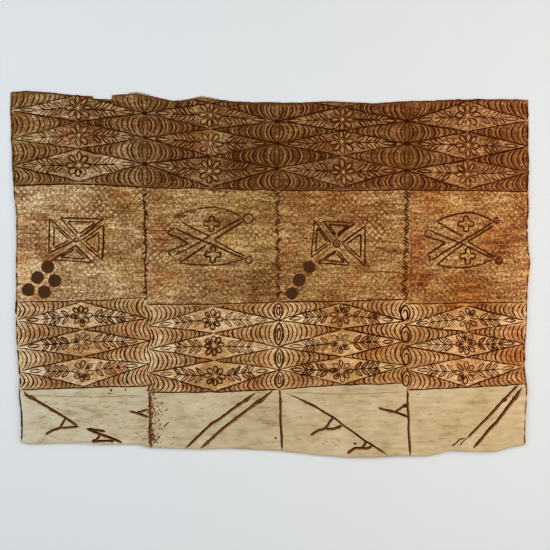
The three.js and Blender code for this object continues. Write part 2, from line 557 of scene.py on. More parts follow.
@dataclass(frozen=True)
class BarkFinish:
    """The bare beaten bark: felted fibres, the beater's fine ridges and old stains."""

    ridge_pitch: float = 0.0032
    relief: float = 0.00022
    # The tints hold painted light, a cool cast at the left and a warm cast at the right, over the
    # bark's tone.
    tints: Tints = ((0.95, 1.00, 1.07), (0.87, 0.82, 0.74), (1.03, 0.90, 0.74))
    level_fibres: Grain = Grain(420.0, 2.0, 0.6, 1.0)
    upright_fibres: Grain = Grain(252.0, 2.0, 0.6, 2.0)
    ridge_wander: Grain = Grain(14.0, 1.0, 0.5, 3.0)
    clouds: Grain = Grain(5.0, 4.0, 0.6, 11.0)
    streaks: Grain = Grain(60.0, 3.0, 0.6, 12.0)
    specks: Grain = Grain(75.0, 2.0, 0.5, 13.0)

    def fibres(self, nodes: Nodes, place: bpy.types.NodeSocket) -> bpy.types.NodeSocket:
        """Returns the relief of the felted fibres and the beater's ridges."""
        level = nodes.noise(place, self.level_fibres, stretch=(0.18, 1.0, 1.0))
        upright = nodes.noise(place, self.upright_fibres, stretch=(1.0, 1.0, 0.12))
        parts = nodes.add("ShaderNodeSeparateXYZ", {0: place})
        wander = nodes.noise(place, self.ridge_wander)
        across = nodes.math("MULTIPLY_ADD", wander, 0.02, parts.outputs[2])
        ridge = nodes.math("SINE", nodes.math("MULTIPLY", across, math.tau / self.ridge_pitch))
        felt = nodes.math("MULTIPLY_ADD", upright, 0.5, nodes.math("MULTIPLY", level, 0.7))
        return nodes.math("MULTIPLY_ADD", ridge, 0.05, felt)

    def build(self, name: str, pale: Colour, middle: Colour, stained: Colour) -> bpy.types.Material:
        """Builds the finish of bark with no rubbing on it.

        Args:
            name: The material's name.
            pale: Its lightest colour.
            middle: Its main colour.
            stained: The colour of its stains.

        Returns:
            The material.
        """
        nodes = Nodes(name)
        place = nodes.places()
        cloud = nodes.noise(place, self.clouds)
        streak = nodes.noise(place, self.streaks, stretch=(0.25, 1.0, 1.0))
        factor = nodes.math("MULTIPLY_ADD", streak, 0.5, nodes.math("MULTIPLY", cloud, 0.5))
        colour = nodes.ramp(factor, ((0.30, stained), (0.46, middle), (0.66, pale)))
        speck = nodes.spread(nodes.noise(place, self.specks), 0.70, 0.76, 0.0, 0.5)
        colour = nodes.blend(speck, colour, stained)
        colour = nodes.tone_and_light_across(colour, place, self.tints)
        height = self.fibres(nodes, place)
        roughness = nodes.spread(cloud, 0.3, 0.7, 0.86, 0.96)
        return nodes.finish(colour, roughness, height, self.relief)


@dataclass(frozen=True)
class Oval:
    """An oval place where the ground is smooth and paler by its lift, or else redder by it."""

    centre: Spot
    half_width: float
    half_height: float
    lift: float


def ovals(*rows: tuple[float, float, float, float, float]) -> tuple[Oval, ...]:
    """Returns oval places, given as rows of x, z, half width, half height and lift."""
    return tuple(Oval(Spot(x, z), wide, high, lift) for x, z, wide, high, lift in rows)


@dataclass(frozen=True)
class RubbedFinish:
    """Brown dye rubbed over a relief tablet, with flecks where the relief left the bark bare."""

    pale: Colour
    middle: Colour
    dark: Colour
    # The tints hold painted light, a cool cast at the left and a warm cast at the right, over the
    # dye's tone.
    tints: Tints
    lattice: float = 0.0
    inside_lift: float = 0.0
    joint_lift: float = 0.0
    tip_drop: float = 0.13
    blotch: float = 0.24
    fleck: float = 1.0
    streak: float = 0.9
    cloud: float = 1.0
    patches: float = 0.75
    plain_places: tuple[Oval, ...] = ()
    red_places: tuple[Oval, ...] = ()
    lattice_size: float = 0.0275
    lattice_stray: Grain = Grain(16.0, 2.0, 0.5, 21.0)
    lattice_shows: Grain = Grain(6.0, 3.0, 0.6, 22.0)
    blotches: Grain = Grain(100.0, 4.0, 0.7, 30.0)
    flecks: Grain = Grain(150.0, 3.0, 0.65, 31.0)
    streaks: Grain = Grain(75.0, 4.0, 0.65, 32.0)
    clouds: Grain = Grain(6.0, 5.0, 0.6, 33.0)
    warm_patches: Grain = Grain(4.5, 4.0, 0.6, 34.0)
    sallow_patches: Grain = Grain(5.5, 3.0, 0.6, 35.0)
    warm_tint: Colour = (0.86, 0.58, 0.40)
    sallow_tint: Colour = (1.0, 1.0, 0.80)
    red_tint: Colour = (0.80, 0.50, 0.36)
    bark: BarkFinish = BarkFinish()

    def lattice_lines(self, nodes: Nodes, place: bpy.types.NodeSocket) -> bpy.types.NodeSocket:
        """Returns the slanting lines of the tablet's ground, 1 on a line, where they show."""
        parts = nodes.add("ShaderNodeSeparateXYZ", {0: place})
        stray = nodes.math("MULTIPLY", nodes.noise(place, self.lattice_stray), 5.0)
        side = nodes.math("MULTIPLY_ADD", parts.outputs[0], math.pi / self.lattice_size, stray)
        rise = nodes.math("MULTIPLY", parts.outputs[2], math.pi / self.lattice_size)
        falling = nodes.math("ABSOLUTE", nodes.math("SINE", nodes.math("ADD", side, rise)))
        rising = nodes.math("ABSOLUTE", nodes.math("SINE", nodes.math("SUBTRACT", side, rise)))
        line = nodes.spread(nodes.math("MINIMUM", falling, rising), 0.1, 0.7, 1.0, -0.4)
        shows = nodes.spread(nodes.noise(place, self.lattice_shows), 0.50, 0.64, 0.14, 0.9)
        return nodes.math("MULTIPLY", line, shows)

    def lozenge_shade(self, nodes: Nodes) -> bpy.types.NodeSocket:
        """Returns how much paler the lozenges and broad ends are, and the tips darker."""
        chart = nodes.add("ShaderNodeUVMap", {}, uv_map="Chart")
        parts = nodes.add("ShaderNodeSeparateXYZ", {0: chart.outputs[0]})
        share = nodes.math("FRACT", parts.outputs[0])
        reach = nodes.math("MINIMUM", share, nodes.math("SUBTRACT", 1.0, share))
        row = nodes.math("FRACT", nodes.math("ADD", parts.outputs[1], 8.0))
        off_middle = nodes.math("ABSOLUTE", nodes.math("SUBTRACT", row, 0.5))
        off_side = nodes.math("SUBTRACT", reach, off_middle)
        inside = nodes.spread(off_side, -0.01, 0.02, 0.0, self.inside_lift)
        near_joint = nodes.spread(reach, 0.03, 0.38, self.joint_lift, -self.tip_drop)
        return nodes.math("ADD", inside, near_joint)

    def inside_oval(self, nodes: Nodes, place: bpy.types.NodeSocket,
                    oval: Oval) -> bpy.types.NodeSocket:
        """Returns 1 inside an oval place, fading to 0 outside it."""
        wide, high = oval.half_width, oval.half_height
        centred = nodes.add("ShaderNodeMapping", {
            "Vector": place,
            "Location": (-oval.centre.x / wide, 0.0, -oval.centre.z / high),
            "Scale": (1.0 / wide, 0.0, 1.0 / high),
        })
        off = nodes.add("ShaderNodeVectorMath", {0: centred.outputs[0]}, operation="LENGTH")
        return nodes.spread(off.outputs["Value"], 0.65, 1.25, 1.0, 0.0)

    def build(self, name: str) -> bpy.types.Material:
        """Builds the finish.

        Args:
            name: The material's name.

        Returns:
            The material.
        """
        nodes = Nodes(name)
        place = nodes.places()
        blotch = nodes.spread(nodes.noise(place, self.blotches), 0.41, 0.60, -0.5, 0.5)
        fleck = nodes.noise(place, self.flecks)
        streak = nodes.noise(place, self.streaks, stretch=(0.14, 1.0, 1.0))
        cloud = nodes.noise(place, self.clouds)
        factor = nodes.math("MULTIPLY", blotch, self.blotch)
        factor = nodes.off_half(fleck, self.fleck, factor)
        factor = nodes.off_half(streak, self.streak, factor)
        factor = nodes.off_half(cloud, self.cloud, factor)
        if self.lattice:
            lines = self.lattice_lines(nodes, place)
            for plain in self.plain_places:
                inside = self.inside_oval(nodes, place, plain)
                lines = nodes.math("MULTIPLY", lines, nodes.math("MULTIPLY_ADD", inside, -0.8, 1.0))
                factor = nodes.math("MULTIPLY_ADD", inside, plain.lift, factor)
            factor = nodes.math("MULTIPLY_ADD", lines, -self.lattice, factor)
        else:
            factor = nodes.math("ADD", self.lozenge_shade(nodes), factor)
        factor = nodes.math("ADD", factor, 0.5)
        colour = nodes.ramp(factor, ((0.0, self.dark), (0.48, self.middle), (1.0, self.pale)))
        warm = nodes.spread(nodes.noise(place, self.warm_patches), 0.50, 0.66, 0.0, self.patches)
        colour = nodes.blend(warm, colour, self.warm_tint, "MULTIPLY")
        sallow = nodes.noise(place, self.sallow_patches)
        sallow = nodes.spread(sallow, 0.50, 0.64, 0.0, self.patches)
        colour = nodes.blend(sallow, colour, self.sallow_tint, "MULTIPLY")
        for red in self.red_places:
            amount = nodes.math("MULTIPLY", self.inside_oval(nodes, place, red), red.lift)
            colour = nodes.blend(amount, colour, self.red_tint, "MULTIPLY")
        colour = nodes.tone_and_light_across(colour, place, self.tints)
        relief = nodes.math("MULTIPLY_ADD", fleck, 0.8, self.bark.fibres(nodes, place))
        roughness = nodes.spread(factor, 0.0, 1.0, 0.78, 0.96)
        return nodes.finish(colour, roughness, relief, self.bark.relief)


@dataclass(frozen=True)
class DyeFinish:
    """Dye laid on by hand, thin at the edges of each stroke and thick along its middle."""

    thin: Colour
    thick: Colour
    cast: Colour
    grain: float = 1.1
    # The tints hold painted light, warmer to the right, over the dye's tone.
    tints: Tints = ((1.02, 1.0, 0.9), (1.08, 0.95, 0.8), (1.28, 0.92, 0.65))
    grains: Grain = Grain(160.0, 3.0, 0.7, 41.0)
    casts: Grain = Grain(12.0, 3.0, 0.6, 42.0)

    def build(self, name: str) -> bpy.types.Material:
        """Builds the finish, which reads each stroke's strength from the mesh.

        Args:
            name: The material's name.

        Returns:
            The material.
        """
        nodes = Nodes(name)
        place = nodes.places()
        strength = nodes.add("ShaderNodeAttribute", {}, attribute_name="Dye").outputs["Fac"]
        grain = nodes.noise(place, self.grains)
        factor = nodes.off_half(grain, self.grain, strength)
        colour = nodes.ramp(factor, ((0.05, self.thin), (0.85, self.thick)))
        cast = nodes.spread(nodes.noise(place, self.casts), 0.52, 0.66, 0.0, 0.5)
        colour = nodes.blend(cast, colour, self.cast)
        colour = nodes.tone_and_light_across(colour, place, self.tints)
        roughness = nodes.spread(factor, 0.0, 1.0, 0.94, 0.80)
        return nodes.finish(colour, roughness, grain, rise=0.0002, gloss=0.02)


@dataclass(frozen=True)
class Brush:
    """How a kind of stroke is laid: its width, strength, thinning ends, rise and uneven width."""

    width: float
    strength: float
    thin_ends: float = 0.18
    step: float = 0.0085
    rise: float = 1.0
    uneven: float = 0.50


class DyeLayer:
    """Strokes of dye on the printed face, gathered into one mesh."""

    crown: float = 0.00038
    skirt: float = 0.00025
    wobble: float = 0.0036
    wobble_size: float = 0.070
    # The shares of its brush's strength and width that a stroke is drawn with.
    strengths: tuple[float, float] = (0.72, 1.16)
    widths: tuple[float, float] = (0.80, 1.25)
    tip_fullness: float = 0.35
    rim_dye: float = 0.55
    most_seed: float = 99.0
    oval_steps: int = 14

    def __init__(self, cloth: ClothShape, seed: int) -> None:
        """Starts an empty layer on a cloth, with its own run of random draws."""
        self.cloth = cloth
        self.draw = random.Random(seed)
        self.points: list[tuple[float, float, float]] = []
        self.dye: list[float] = []
        self.faces: list[tuple[int, ...]] = []

    def point(self, spot: Spot, lift: float, dye: float) -> int:
        """Adds a point of the mesh over a spot and returns its number."""
        self.points.append((spot.x, self.cloth.front(spot) - lift, spot.z))
        self.dye.append(dye)
        return len(self.points) - 1

    def stray(self, spot: Spot) -> Spot:
        """Moves a spot as the printer's hand does, alike for all strokes near it."""
        place = Vector((spot.x / self.wobble_size, 3.0, spot.z / self.wobble_size))
        across = noise.noise(place)
        up = noise.noise(place + Vector((40.0, 0.0, 7.0)))
        return Spot(spot.x + self.wobble * across, spot.z + self.wobble * up)

    def spaced(self, path: Sequence[Spot], step: float) -> list[Spot]:
        """Spaces the points of a path evenly.

        Args:
            path: The path's corners.
            step: The widest gap between its new points.

        Returns:
            The new points, at least three.
        """
        lengths = [0.0]
        for first, second in zip(path, path[1:]):
            lengths.append(lengths[-1] + math.dist(first, second))
        count = max(2, math.ceil(lengths[-1] / step))
        xs = tuple(zip(lengths, (spot.x for spot in path)))
        zs = tuple(zip(lengths, (spot.z for spot in path)))
        stops = [lengths[-1] * index / count for index in range(count + 1)]
        return [Spot(held(xs, stop), held(zs, stop)) for stop in stops]

    def runs(self, spots: Sequence[Spot], margin: float) -> Iterable[list[Spot]]:
        """Yields the stretches of a path that lie on the cloth."""
        run: list[Spot] = []
        for spot in spots:
            if self.cloth.holds(spot, margin):
                run.append(spot)
                continue
            if len(run) > 2:
                yield run
            run = []
        if len(run) > 2:
            yield run

    def stroke(self, path: Sequence[Spot], brush: Brush, margin: float = 0.001) -> None:
        """Lays one stroke.

        Args:
            path: The path that it follows.
            brush: How it is laid.
            margin: How far it keeps from the cloth's edges.
        """
        path = [spot for index, spot in enumerate(path) if index == 0 or spot != path[index - 1]]
        if len(path) < 2:
            return
        spots = [self.stray(spot) for spot in self.spaced(path, brush.step)]
        for run in self.runs(spots, margin):
            self.ribbon(run, brush)

    def ribbon(self, run: Sequence[Spot], brush: Brush) -> None:
        """Adds the closed ribbon of one stretch of a stroke.

        Args:
            run: Its evenly spaced middle line.
            brush: How it is laid.
        """
        strength = brush.strength * self.draw.uniform(*self.strengths)
        width = brush.width * self.draw.uniform(*self.widths)
        seed = self.draw.uniform(0.0, self.most_seed)
        rings: list[tuple[int, int, int]] = []
        last = len(run) - 1
        for index, spot in enumerate(run):
            before, after = run[max(index - 1, 0)], run[min(index + 1, last)]
            along = Vector((after.x - before.x, after.z - before.z)).normalized()
            from_end = min(index, last - index) / max(last * brush.thin_ends, 1.0)
            fullness = mix(self.tip_fullness, 1.0, smooth_step(from_end))
            wander = noise.noise(Vector((0.55 * index, seed, 0.0)))
            half = 0.5 * width * fullness * (1.0 + brush.uneven * wander)
            dye = strength * (1.0 + 0.45 * noise.noise(Vector((0.35 * index, seed, 8.0))))
            dye *= 0.75 + 0.25 * fullness
            left = Spot(spot.x - half * along.y, spot.z + half * along.x)
            right = Spot(spot.x + half * along.y, spot.z - half * along.x)
            rings.append((
                self.point(left, -self.skirt, self.rim_dye * dye),
                self.point(spot, self.crown * brush.rise * fullness, dye),
                self.point(right, -self.skirt, self.rim_dye * dye),
            ))
        for first, second in zip(rings, rings[1:]):
            self.faces.append((first[0], first[1], second[1], second[0]))
            self.faces.append((first[1], first[2], second[2], second[1]))
            self.faces.append((first[2], first[0], second[0], second[2]))
        self.faces.append(rings[0][::-1])
        self.faces.append(rings[-1])

    def oval(self, centre: Spot, half_width: float, half_height: float, brush: Brush) -> None:
        """Lays a stroke round an oval, a little past where it began."""
        angles = [math.tau * step / self.oval_steps for step in range(self.oval_steps + 2)]
        self.stroke([Spot(centre.x + half_width * math.cos(angle),
                          centre.z + half_height * math.sin(angle)) for angle in angles], brush)

    def blot(self, centre: Spot, radius: float, strength: float, sides: int = 20) -> None:
        """Lays a round spot of dye with an uneven rim.

        Args:
            centre: Its middle.
            radius: Its mean radius.
            strength: How dark it is.
            sides: How many sides its rim has.
        """
        centre = self.stray(centre)
        if not self.cloth.holds(centre, 1.3 * radius):
            return
        seed = self.draw.uniform(0.0, self.most_seed)
        rings: list[list[int]] = []
        steps = ((1.0, -self.skirt, 0.7), (0.9, 0.7 * self.crown, 0.95), (0.5, self.crown, 1.0))
        for share, lift, dye in steps:
            ring = []
            for side in range(sides):
                angle = math.tau * side / sides
                uneven = noise.noise(Vector((1.3 * math.cos(angle), 1.3 * math.sin(angle), seed)))
                reach = radius * share * (1.0 + 0.10 * uneven)
                ring.append(self.point(centre.ray(angle, reach), lift, strength * dye))
            rings.append(ring)
        middle = self.point(centre, self.crown, strength)
        for side in range(sides):
            after = (side + 1) % sides
            for outer, inner in zip(rings, rings[1:]):
                self.faces.append((outer[side], outer[after], inner[after], inner[side]))
            self.faces.append((rings[-1][side], rings[-1][after], middle))
        self.faces.append(tuple(reversed(rings[0])))

    def build(self, name: str, material: bpy.types.Material) -> bpy.types.Object:
        """Args:
            name: The piece's name.
            material: Its finish.

        Returns:
            The piece.
        """
        mesh = bpy.data.meshes.new(name)
        mesh.from_pydata(self.points, [], self.faces)
        dye = mesh.attributes.new("Dye", "FLOAT", "POINT")
        dye.data.foreach_set("value", self.dye)
        shell = bmesh.new()
        shell.from_mesh(mesh)
        bmesh.ops.recalc_face_normals(shell, faces=shell.faces)
        shell.to_mesh(mesh)
        shell.free()
        mesh.materials.append(material)
        mesh.polygons.foreach_set("use_smooth", [True] * len(mesh.polygons))
        piece = bpy.data.objects.new(name, mesh)
        bpy.context.scene.collection.objects.link(piece)
        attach(piece, BODY)
        return piece


def along_leaf(base: Spot, angle: float, side: Sequence[tuple[float, float]]) -> list[Spot]:
    """Returns a leaf's whole outline from one side of it: how far out and how wide, row by row."""
    back = [(far, -wide) for far, wide in reversed(side[:-1])]
    return [
        Spot(base.x + far * math.cos(angle) - wide * math.sin(angle),
             base.z + far * math.sin(angle) + wide * math.cos(angle))
        for far, wide in (*side, *back)
    ]


@dataclass(frozen=True)
class Flower:
    """An eight-petalled flower drawn in outline."""

    reach: float = 0.053
    petal_width: float = 0.022
    petals: int = 8
    eye: float = 0.007
    filled: float = 0.0
    steps: int = 9
    roundness: float = 1.7
    brush: Brush = Brush(width=0.0082, strength=0.95, thin_ends=0.12, step=0.006)

    def draw_on(self, layer: DyeLayer, bare: DyeLayer, centre: Spot, room: float) -> None:
        """Draws the flower.

        Args:
            layer: The layer that takes the dark strokes.
            bare: The layer that takes the pale ones.
            centre: The flower's middle.
            room: The height from the middle to the lozenge's side.
        """
        turn = layer.draw.uniform(-0.12, 0.12)
        brush = replace(self.brush, width=self.brush.width * layer.draw.uniform(0.85, 1.4))
        for petal in range(self.petals):
            angle = turn + math.tau * petal / self.petals + layer.draw.uniform(-0.07, 0.07)
            reach = self.reach * layer.draw.uniform(0.88, 1.10)
            reach = min(reach, 0.93 * room / max(abs(math.sin(angle)), 0.3))
            half = 0.5 * self.petal_width * layer.draw.uniform(0.85, 1.12)
            layer.stroke(self.petal(centre, angle, reach, half), brush)
            middle_line = [centre.ray(angle, 0.30 * reach), centre.ray(angle, 0.86 * reach)]
            if layer.draw.random() < self.filled:
                layer.stroke(middle_line, Brush(1.7 * half, 0.7, 0.4, step=0.006, rise=0.7))
            else:
                bare.stroke(middle_line, Brush(1.3 * half, 0.55, 0.4, step=0.006))
        bare.blot(centre, 0.8 * self.eye, 0.8, 8)

    def petal(self, centre: Spot, angle: float, reach: float, half: float) -> list[Spot]:
        """Returns the outline of a petal that is pointed inside and round outside."""
        shares = [step / self.steps for step in range(self.steps + 1)]
        side = [(mix(self.eye, reach, share), half * math.sin(math.pi * share**self.roundness))
                for share in shares]
        return along_leaf(centre, angle, side)


@dataclass(frozen=True)
class LeafSpray:
    """A stem from the flower to a lozenge's point, with paired leaves and a leaf at its end."""

    first_leaf: float = 0.060
    leaf_gap: float = 0.036
    leaf_pairs: int = 4
    leaf_length: float = 0.052
    leaf_width: float = 0.014
    leaf_angle: float = 40.0
    end_leaf_start: float = 0.110
    end_leaf_length: float = 0.070
    end_leaf_width: float = 0.014
    steps: int = 8
    brush: Brush = Brush(width=0.0078, strength=0.92, thin_ends=0.12, step=0.0065)
    bare_brush: Brush = Brush(width=0.0060, strength=0.50, thin_ends=0.4)

    def leaf(self, base: Spot, angle: float, length: float, width: float) -> list[Spot]:
        """Returns the outline of a leaf that is pointed at both ends."""
        side = [(length * step / self.steps, 0.5 * width * math.sin(math.pi * step / self.steps))
                for step in range(self.steps + 1)]
        return along_leaf(base, angle, side)

    def draw_on(self, layer: DyeLayer, bare: DyeLayer, flower: Spot, point: Spot,
                room: float) -> None:
        """Draws the spray.

        Args:
            layer: The layer that takes the dark strokes.
            bare: The layer that takes the pale ones.
            flower: The flower's middle.
            point: The lozenge's point.
            room: The height from the flower to the lozenge's side.
        """
        length = math.dist(flower, point)
        angle = math.atan2(point.z - flower.z, point.x - flower.x)

        def on_stem(far: float) -> Spot:
            """Returns a spot on the stem."""
            return flower.towards(point, far / length)

        stem_end = length - self.end_leaf_start
        brush = replace(self.brush, width=self.brush.width * layer.draw.uniform(0.80, 1.35))
        layer.stroke([on_stem(0.035), on_stem(stem_end)], brush)
        for pair in range(self.leaf_pairs):
            far = self.first_leaf + self.leaf_gap * pair + layer.draw.uniform(-0.004, 0.004)
            if far > stem_end - 0.01:
                break
            slope = math.radians(self.leaf_angle + layer.draw.uniform(-4.0, 4.0))
            fits = 0.92 * room * (1.0 - far / length) / math.sin(slope)
            reach = min(self.leaf_length, fits) * layer.draw.uniform(0.9, 1.08)
            base = on_stem(far)
            for aim in (angle - slope, angle + slope):
                layer.stroke(self.leaf(base, aim, reach, self.leaf_width), brush)
                bare.stroke([base.ray(aim, 0.2 * reach), base.ray(aim, 0.85 * reach)],
                            self.bare_brush)
        end = self.leaf(on_stem(stem_end), angle, self.end_leaf_length, self.end_leaf_width)
        layer.stroke(end, brush)
        bare.stroke([on_stem(stem_end + 0.02), on_stem(stem_end + 0.8 * self.end_leaf_length)],
                    self.bare_brush)


@dataclass(frozen=True)
class Fan:
    """Nested arcs that swell away from a panel joint, between two knots and a touch."""

    pitch: float
    pairing: float
    ribs: tuple[float, ...]
    heavy: Brush
    light: Brush
    bare_share: float
    bare: Brush = Brush(0.0050, 0.65, 0.35)
    bare_gap: float = 0.0078
    bow: float = 0.030
    least_bow: float = 0.35
    overreach: float = 1.25
    filled: float = 0.87
    steps: int = 10

    def arc(self, side: "FanPlace", swell: float) -> list[Spot]:
        """Returns the arc of a fan whose middle lies a swell's distance from the joint."""
        narrowing = swell / side.half_width
        bow = min(swell, self.bow * max(1.0 - narrowing, self.least_bow))
        arc = []
        for step in range(-self.steps, self.steps + 1):
            reach = self.overreach * step / self.steps
            share = -0.5 * reach * (1.0 - narrowing)
            off_joint = swell - bow * reach**2
            if abs(share) <= min(0.5 * (1.0 - off_joint / side.half_width) + 0.01, 0.5):
                arc.append(side.spot(off_joint, share))
        return arc

    def draw_on(self, layer: DyeLayer, bare: DyeLayer, side: "FanPlace") -> None:
        """Draws the ribs at the joint and the arcs of one fan, some with a pale line beside."""
        for rib in self.ribs[:-1]:
            layer.stroke(self.arc(side, rib), self.light)
        swell = self.ribs[-1]
        turn = layer.draw.randrange(2)
        while swell < self.filled * side.half_width:
            brush = self.heavy if turn % 2 == 0 else self.light
            layer.stroke(self.arc(side, swell), brush)
            if bare.draw.random() < self.bare_share:
                beside = swell + self.bare_gap * bare.draw.uniform(0.8, 1.3)
                bare.stroke(self.arc(side, beside)[1:-1], self.bare)
            paired = self.pairing * (1.0 if turn % 2 else -1.0)
            swell += self.pitch * (1.0 + paired + layer.draw.uniform(-0.14, 0.14))
            turn += 1


@dataclass(frozen=True)
class FanPlace:
    """Where a fan lies: the joint and side, its two knots and the touch at its narrow end."""

    cloth: ClothShape
    joint: int
    side: float
    upper_knot: float
    lower_knot: float
    touch: float
    half_width: float

    def spot(self, off_joint: float, share: float) -> Spot:
        """Finds a spot of the fan.

        Args:
            off_joint: How far it is from the joint.
            share: Its share of the fan's height, from -0.5 at the lower knot to 0.5.

        Returns:
            The spot.
        """
        off_joint = max(off_joint, 0.0)
        narrowing = off_joint / self.half_width
        centre = mix(0.5 * (self.upper_knot + self.lower_knot), self.touch, narrowing)
        z = centre + share * (self.upper_knot - self.lower_knot)
        return Spot(self.cloth.across(self.joint, z) + self.side * off_joint, z)


class JointMark(Enum):
    """What is drawn on a panel joint between two knots of a lozenge band."""

    NOTHING = "nothing"
    WAVE = "wave"
    EYES = "eyes"
    SCROLLS = "scrolls"


@dataclass(frozen=True)
class LozengeBand:
    """A band of pointed lozenges with flowers and leaves, and fans of arcs between them."""

    band: Band
    fan: Fan
    knot: float
    flowers: tuple[Flower, ...] = (Flower(),) * PANELS
    spray: LeafSpray = LeafSpray()
    joint_marks: tuple[JointMark, ...] = (JointMark.NOTHING,) * (PANELS + 1)
    outline: Brush = Brush(width=0.0098, strength=1.0, thin_ends=0.06, step=0.011)
    mark: Brush = Brush(width=0.0098, strength=1.1, thin_ends=0.10)
    eye_width: float = 0.0150
    scroll_width: float = 0.0185
    scroll_steps: int = 24
    wave: float = 0.0075
    knot_shift: float = 0.004
    rows: int = 3

    def draw_on(self, layer: DyeLayer, bare: DyeLayer, layout: Layout) -> None:
        """Draws the band over all panels.

        Args:
            layer: The layer that takes the dark strokes.
            bare: The layer that takes the pale ones.
            layout: Where the rows lie.
        """
        for panel, rows in enumerate(layout.rows(self.band)):
            self.draw_panel(layer, bare, panel, rows)

    def draw_panel(self, layer: DyeLayer, bare: DyeLayer, panel: int, rows: LozengeRows) -> None:
        """Draws one panel's lozenges and fans."""
        cloth = layer.cloth
        middle = cloth.across(panel + 0.5, rows.touches[1])
        for left in (True, False):
            joint = panel if left else panel + 1
            knots = rows.left_knots if left else rows.right_knots
            half_width = abs(middle - cloth.across(joint, rows.touches[1]))
            for index, touch in enumerate(rows.touches):
                place = FanPlace(cloth, joint, 1.0 if left else -1.0, knots[index],
                                 knots[index + 1], touch, half_width)
                self.fan.draw_on(layer, bare, place)
                if left:
                    self.mark_joint(layer, place)
                end = place.spot(half_width, 0.0)
                if index > 0 or self.band == Band.UPPER_LOZENGES:
                    layer.stroke([place.spot(0.0, 0.5), end], self.outline)
                if index < self.rows:
                    layer.stroke([place.spot(0.0, -0.5), end], self.outline)
                    size = self.knot * layer.draw.uniform(0.7, 1.2)
                    layer.blot(place.spot(self.knot_shift, -0.5), size, 0.95, 12)
        for row in range(self.rows):
            top, bottom = rows.touches[row], rows.touches[row + 1]
            room = 0.5 * (top - bottom)
            z = 0.5 * (top + bottom) + layer.draw.uniform(-0.003, 0.005)
            flower = Spot(cloth.across(panel + 0.5, z) + layer.draw.uniform(-0.006, 0.006), z)
            self.flowers[panel].draw_on(layer, bare, flower, room)
            for joint, knots in ((panel, rows.left_knots), (panel + 1, rows.right_knots)):
                point = Spot(cloth.across(joint, knots[row + 1]), knots[row + 1])
                self.spray.draw_on(layer, bare, flower, point, room)

    def mark_joint(self, layer: DyeLayer, place: FanPlace) -> None:
        """Draws the mark on a joint between two knots."""
        height = place.upper_knot - place.lower_knot
        kind = self.joint_marks[place.joint]
        if kind is JointMark.EYES:
            for wide, high in ((1.0, 0.42), (0.42, 0.24)):
                layer.oval(place.spot(0.0, 0.0), wide * self.eye_width, high * height, self.mark)
        if kind is JointMark.SCROLLS:
            middle = place.spot(0.0, 0.0)
            path = []
            for step in range(self.scroll_steps + 1):
                share = step / self.scroll_steps
                angle, grown = 2.85 * math.pi * share, mix(0.35, 1.1, share)
                path.append(Spot(middle.x - grown * self.scroll_width * math.cos(angle),
                                 middle.z + 0.42 * grown * height * math.sin(angle)))
            layer.stroke(path, replace(self.mark, width=1.2 * self.mark.width))
        if kind is JointMark.WAVE:
            shares = [0.5 - step / 10 for step in range(11)]
            path = [place.spot(0.0, share) for share in shares]
            layer.stroke([Spot(spot.x + self.wave * math.cos(math.tau * share), spot.z)
                          for spot, share in zip(path, shares)], self.mark)


@dataclass(frozen=True)
class BoxFigure:
    """A box crossed by two straps, with a triangle inside each of its four parts.

    Each part is a triangle with its tip first, in spots counted from the centre, and the right
    part, which is hatched, comes last.
    """

    centre: Spot
    parts: tuple[Trail, ...]
    ring: float
    ring_fill: float = 0.0
    inner: float = 0.62
    inner_shift: float = 0.10
    slip: float = 0.002
    brush: Brush = Brush(width=0.0118, strength=1.05, thin_ends=0.05)
    wash: Brush = Brush(width=0.0120, strength=0.16, thin_ends=0.1, rise=0.3)
    hatch: Brush = Brush(width=0.0042, strength=0.40, thin_ends=0.3, step=0.006, rise=0.5)

    def triangle(self, layer: DyeLayer, corners: Sequence[Spot], brush: Brush) -> None:
        """Draws a triangle's three sides, which miss each other a little at its corners."""
        slip = self.slip
        for ends in zip(corners, (*corners[1:], corners[0])):
            missed = [Spot(end.x + layer.draw.uniform(-slip, slip),
                           end.z + layer.draw.uniform(-slip, slip)) for end in ends]
            layer.stroke([self.centre.plus(end) for end in missed], brush)

    def draw_on(self, layer: DyeLayer) -> None:
        """Draws the straps' shade, the box's parts, the hatch and the ring at the crossing."""
        for part, after in zip(self.parts, (*self.parts[1:], self.parts[0])):
            corner = part[2].towards(after[1], 0.5)
            near = Spot(0.15 * corner.x, 0.15 * corner.z)
            layer.stroke([self.centre.plus(near), self.centre.plus(corner)], self.wash)
        for part in self.parts:
            self.triangle(layer, part, self.brush)
            middle = Spot(sum(spot.x for spot in part) / 3.0, sum(spot.z for spot in part) / 3.0)
            shift = Spot(self.inner_shift * (part[0].x - middle.x),
                         self.inner_shift * (part[0].z - middle.z))
            inside = [middle.towards(spot, self.inner).plus(shift) for spot in part]
            self.triangle(layer, inside, self.brush)
        tip, high, low = self.parts[-1]
        for share in (0.25, 0.38, 0.5, 0.62, 0.75):
            base = high.towards(low, share)
            layer.stroke([self.centre.plus(tip.towards(base, far)) for far in (0.40, 0.80)],
                         self.hatch)
        layer.oval(self.centre, self.ring, self.ring, self.brush)
        if self.ring_fill:
            layer.blot(self.centre, 0.7 * self.ring, self.ring_fill, 12)


@dataclass(frozen=True)
class Staff:
    """One staff, in spots counted from the crossing: two long lines, a knob and a broad butt."""

    knob: Spot
    knob_size: float
    spine: Trail
    outer: Trail
    lens_side: Trail
    butt: Spot


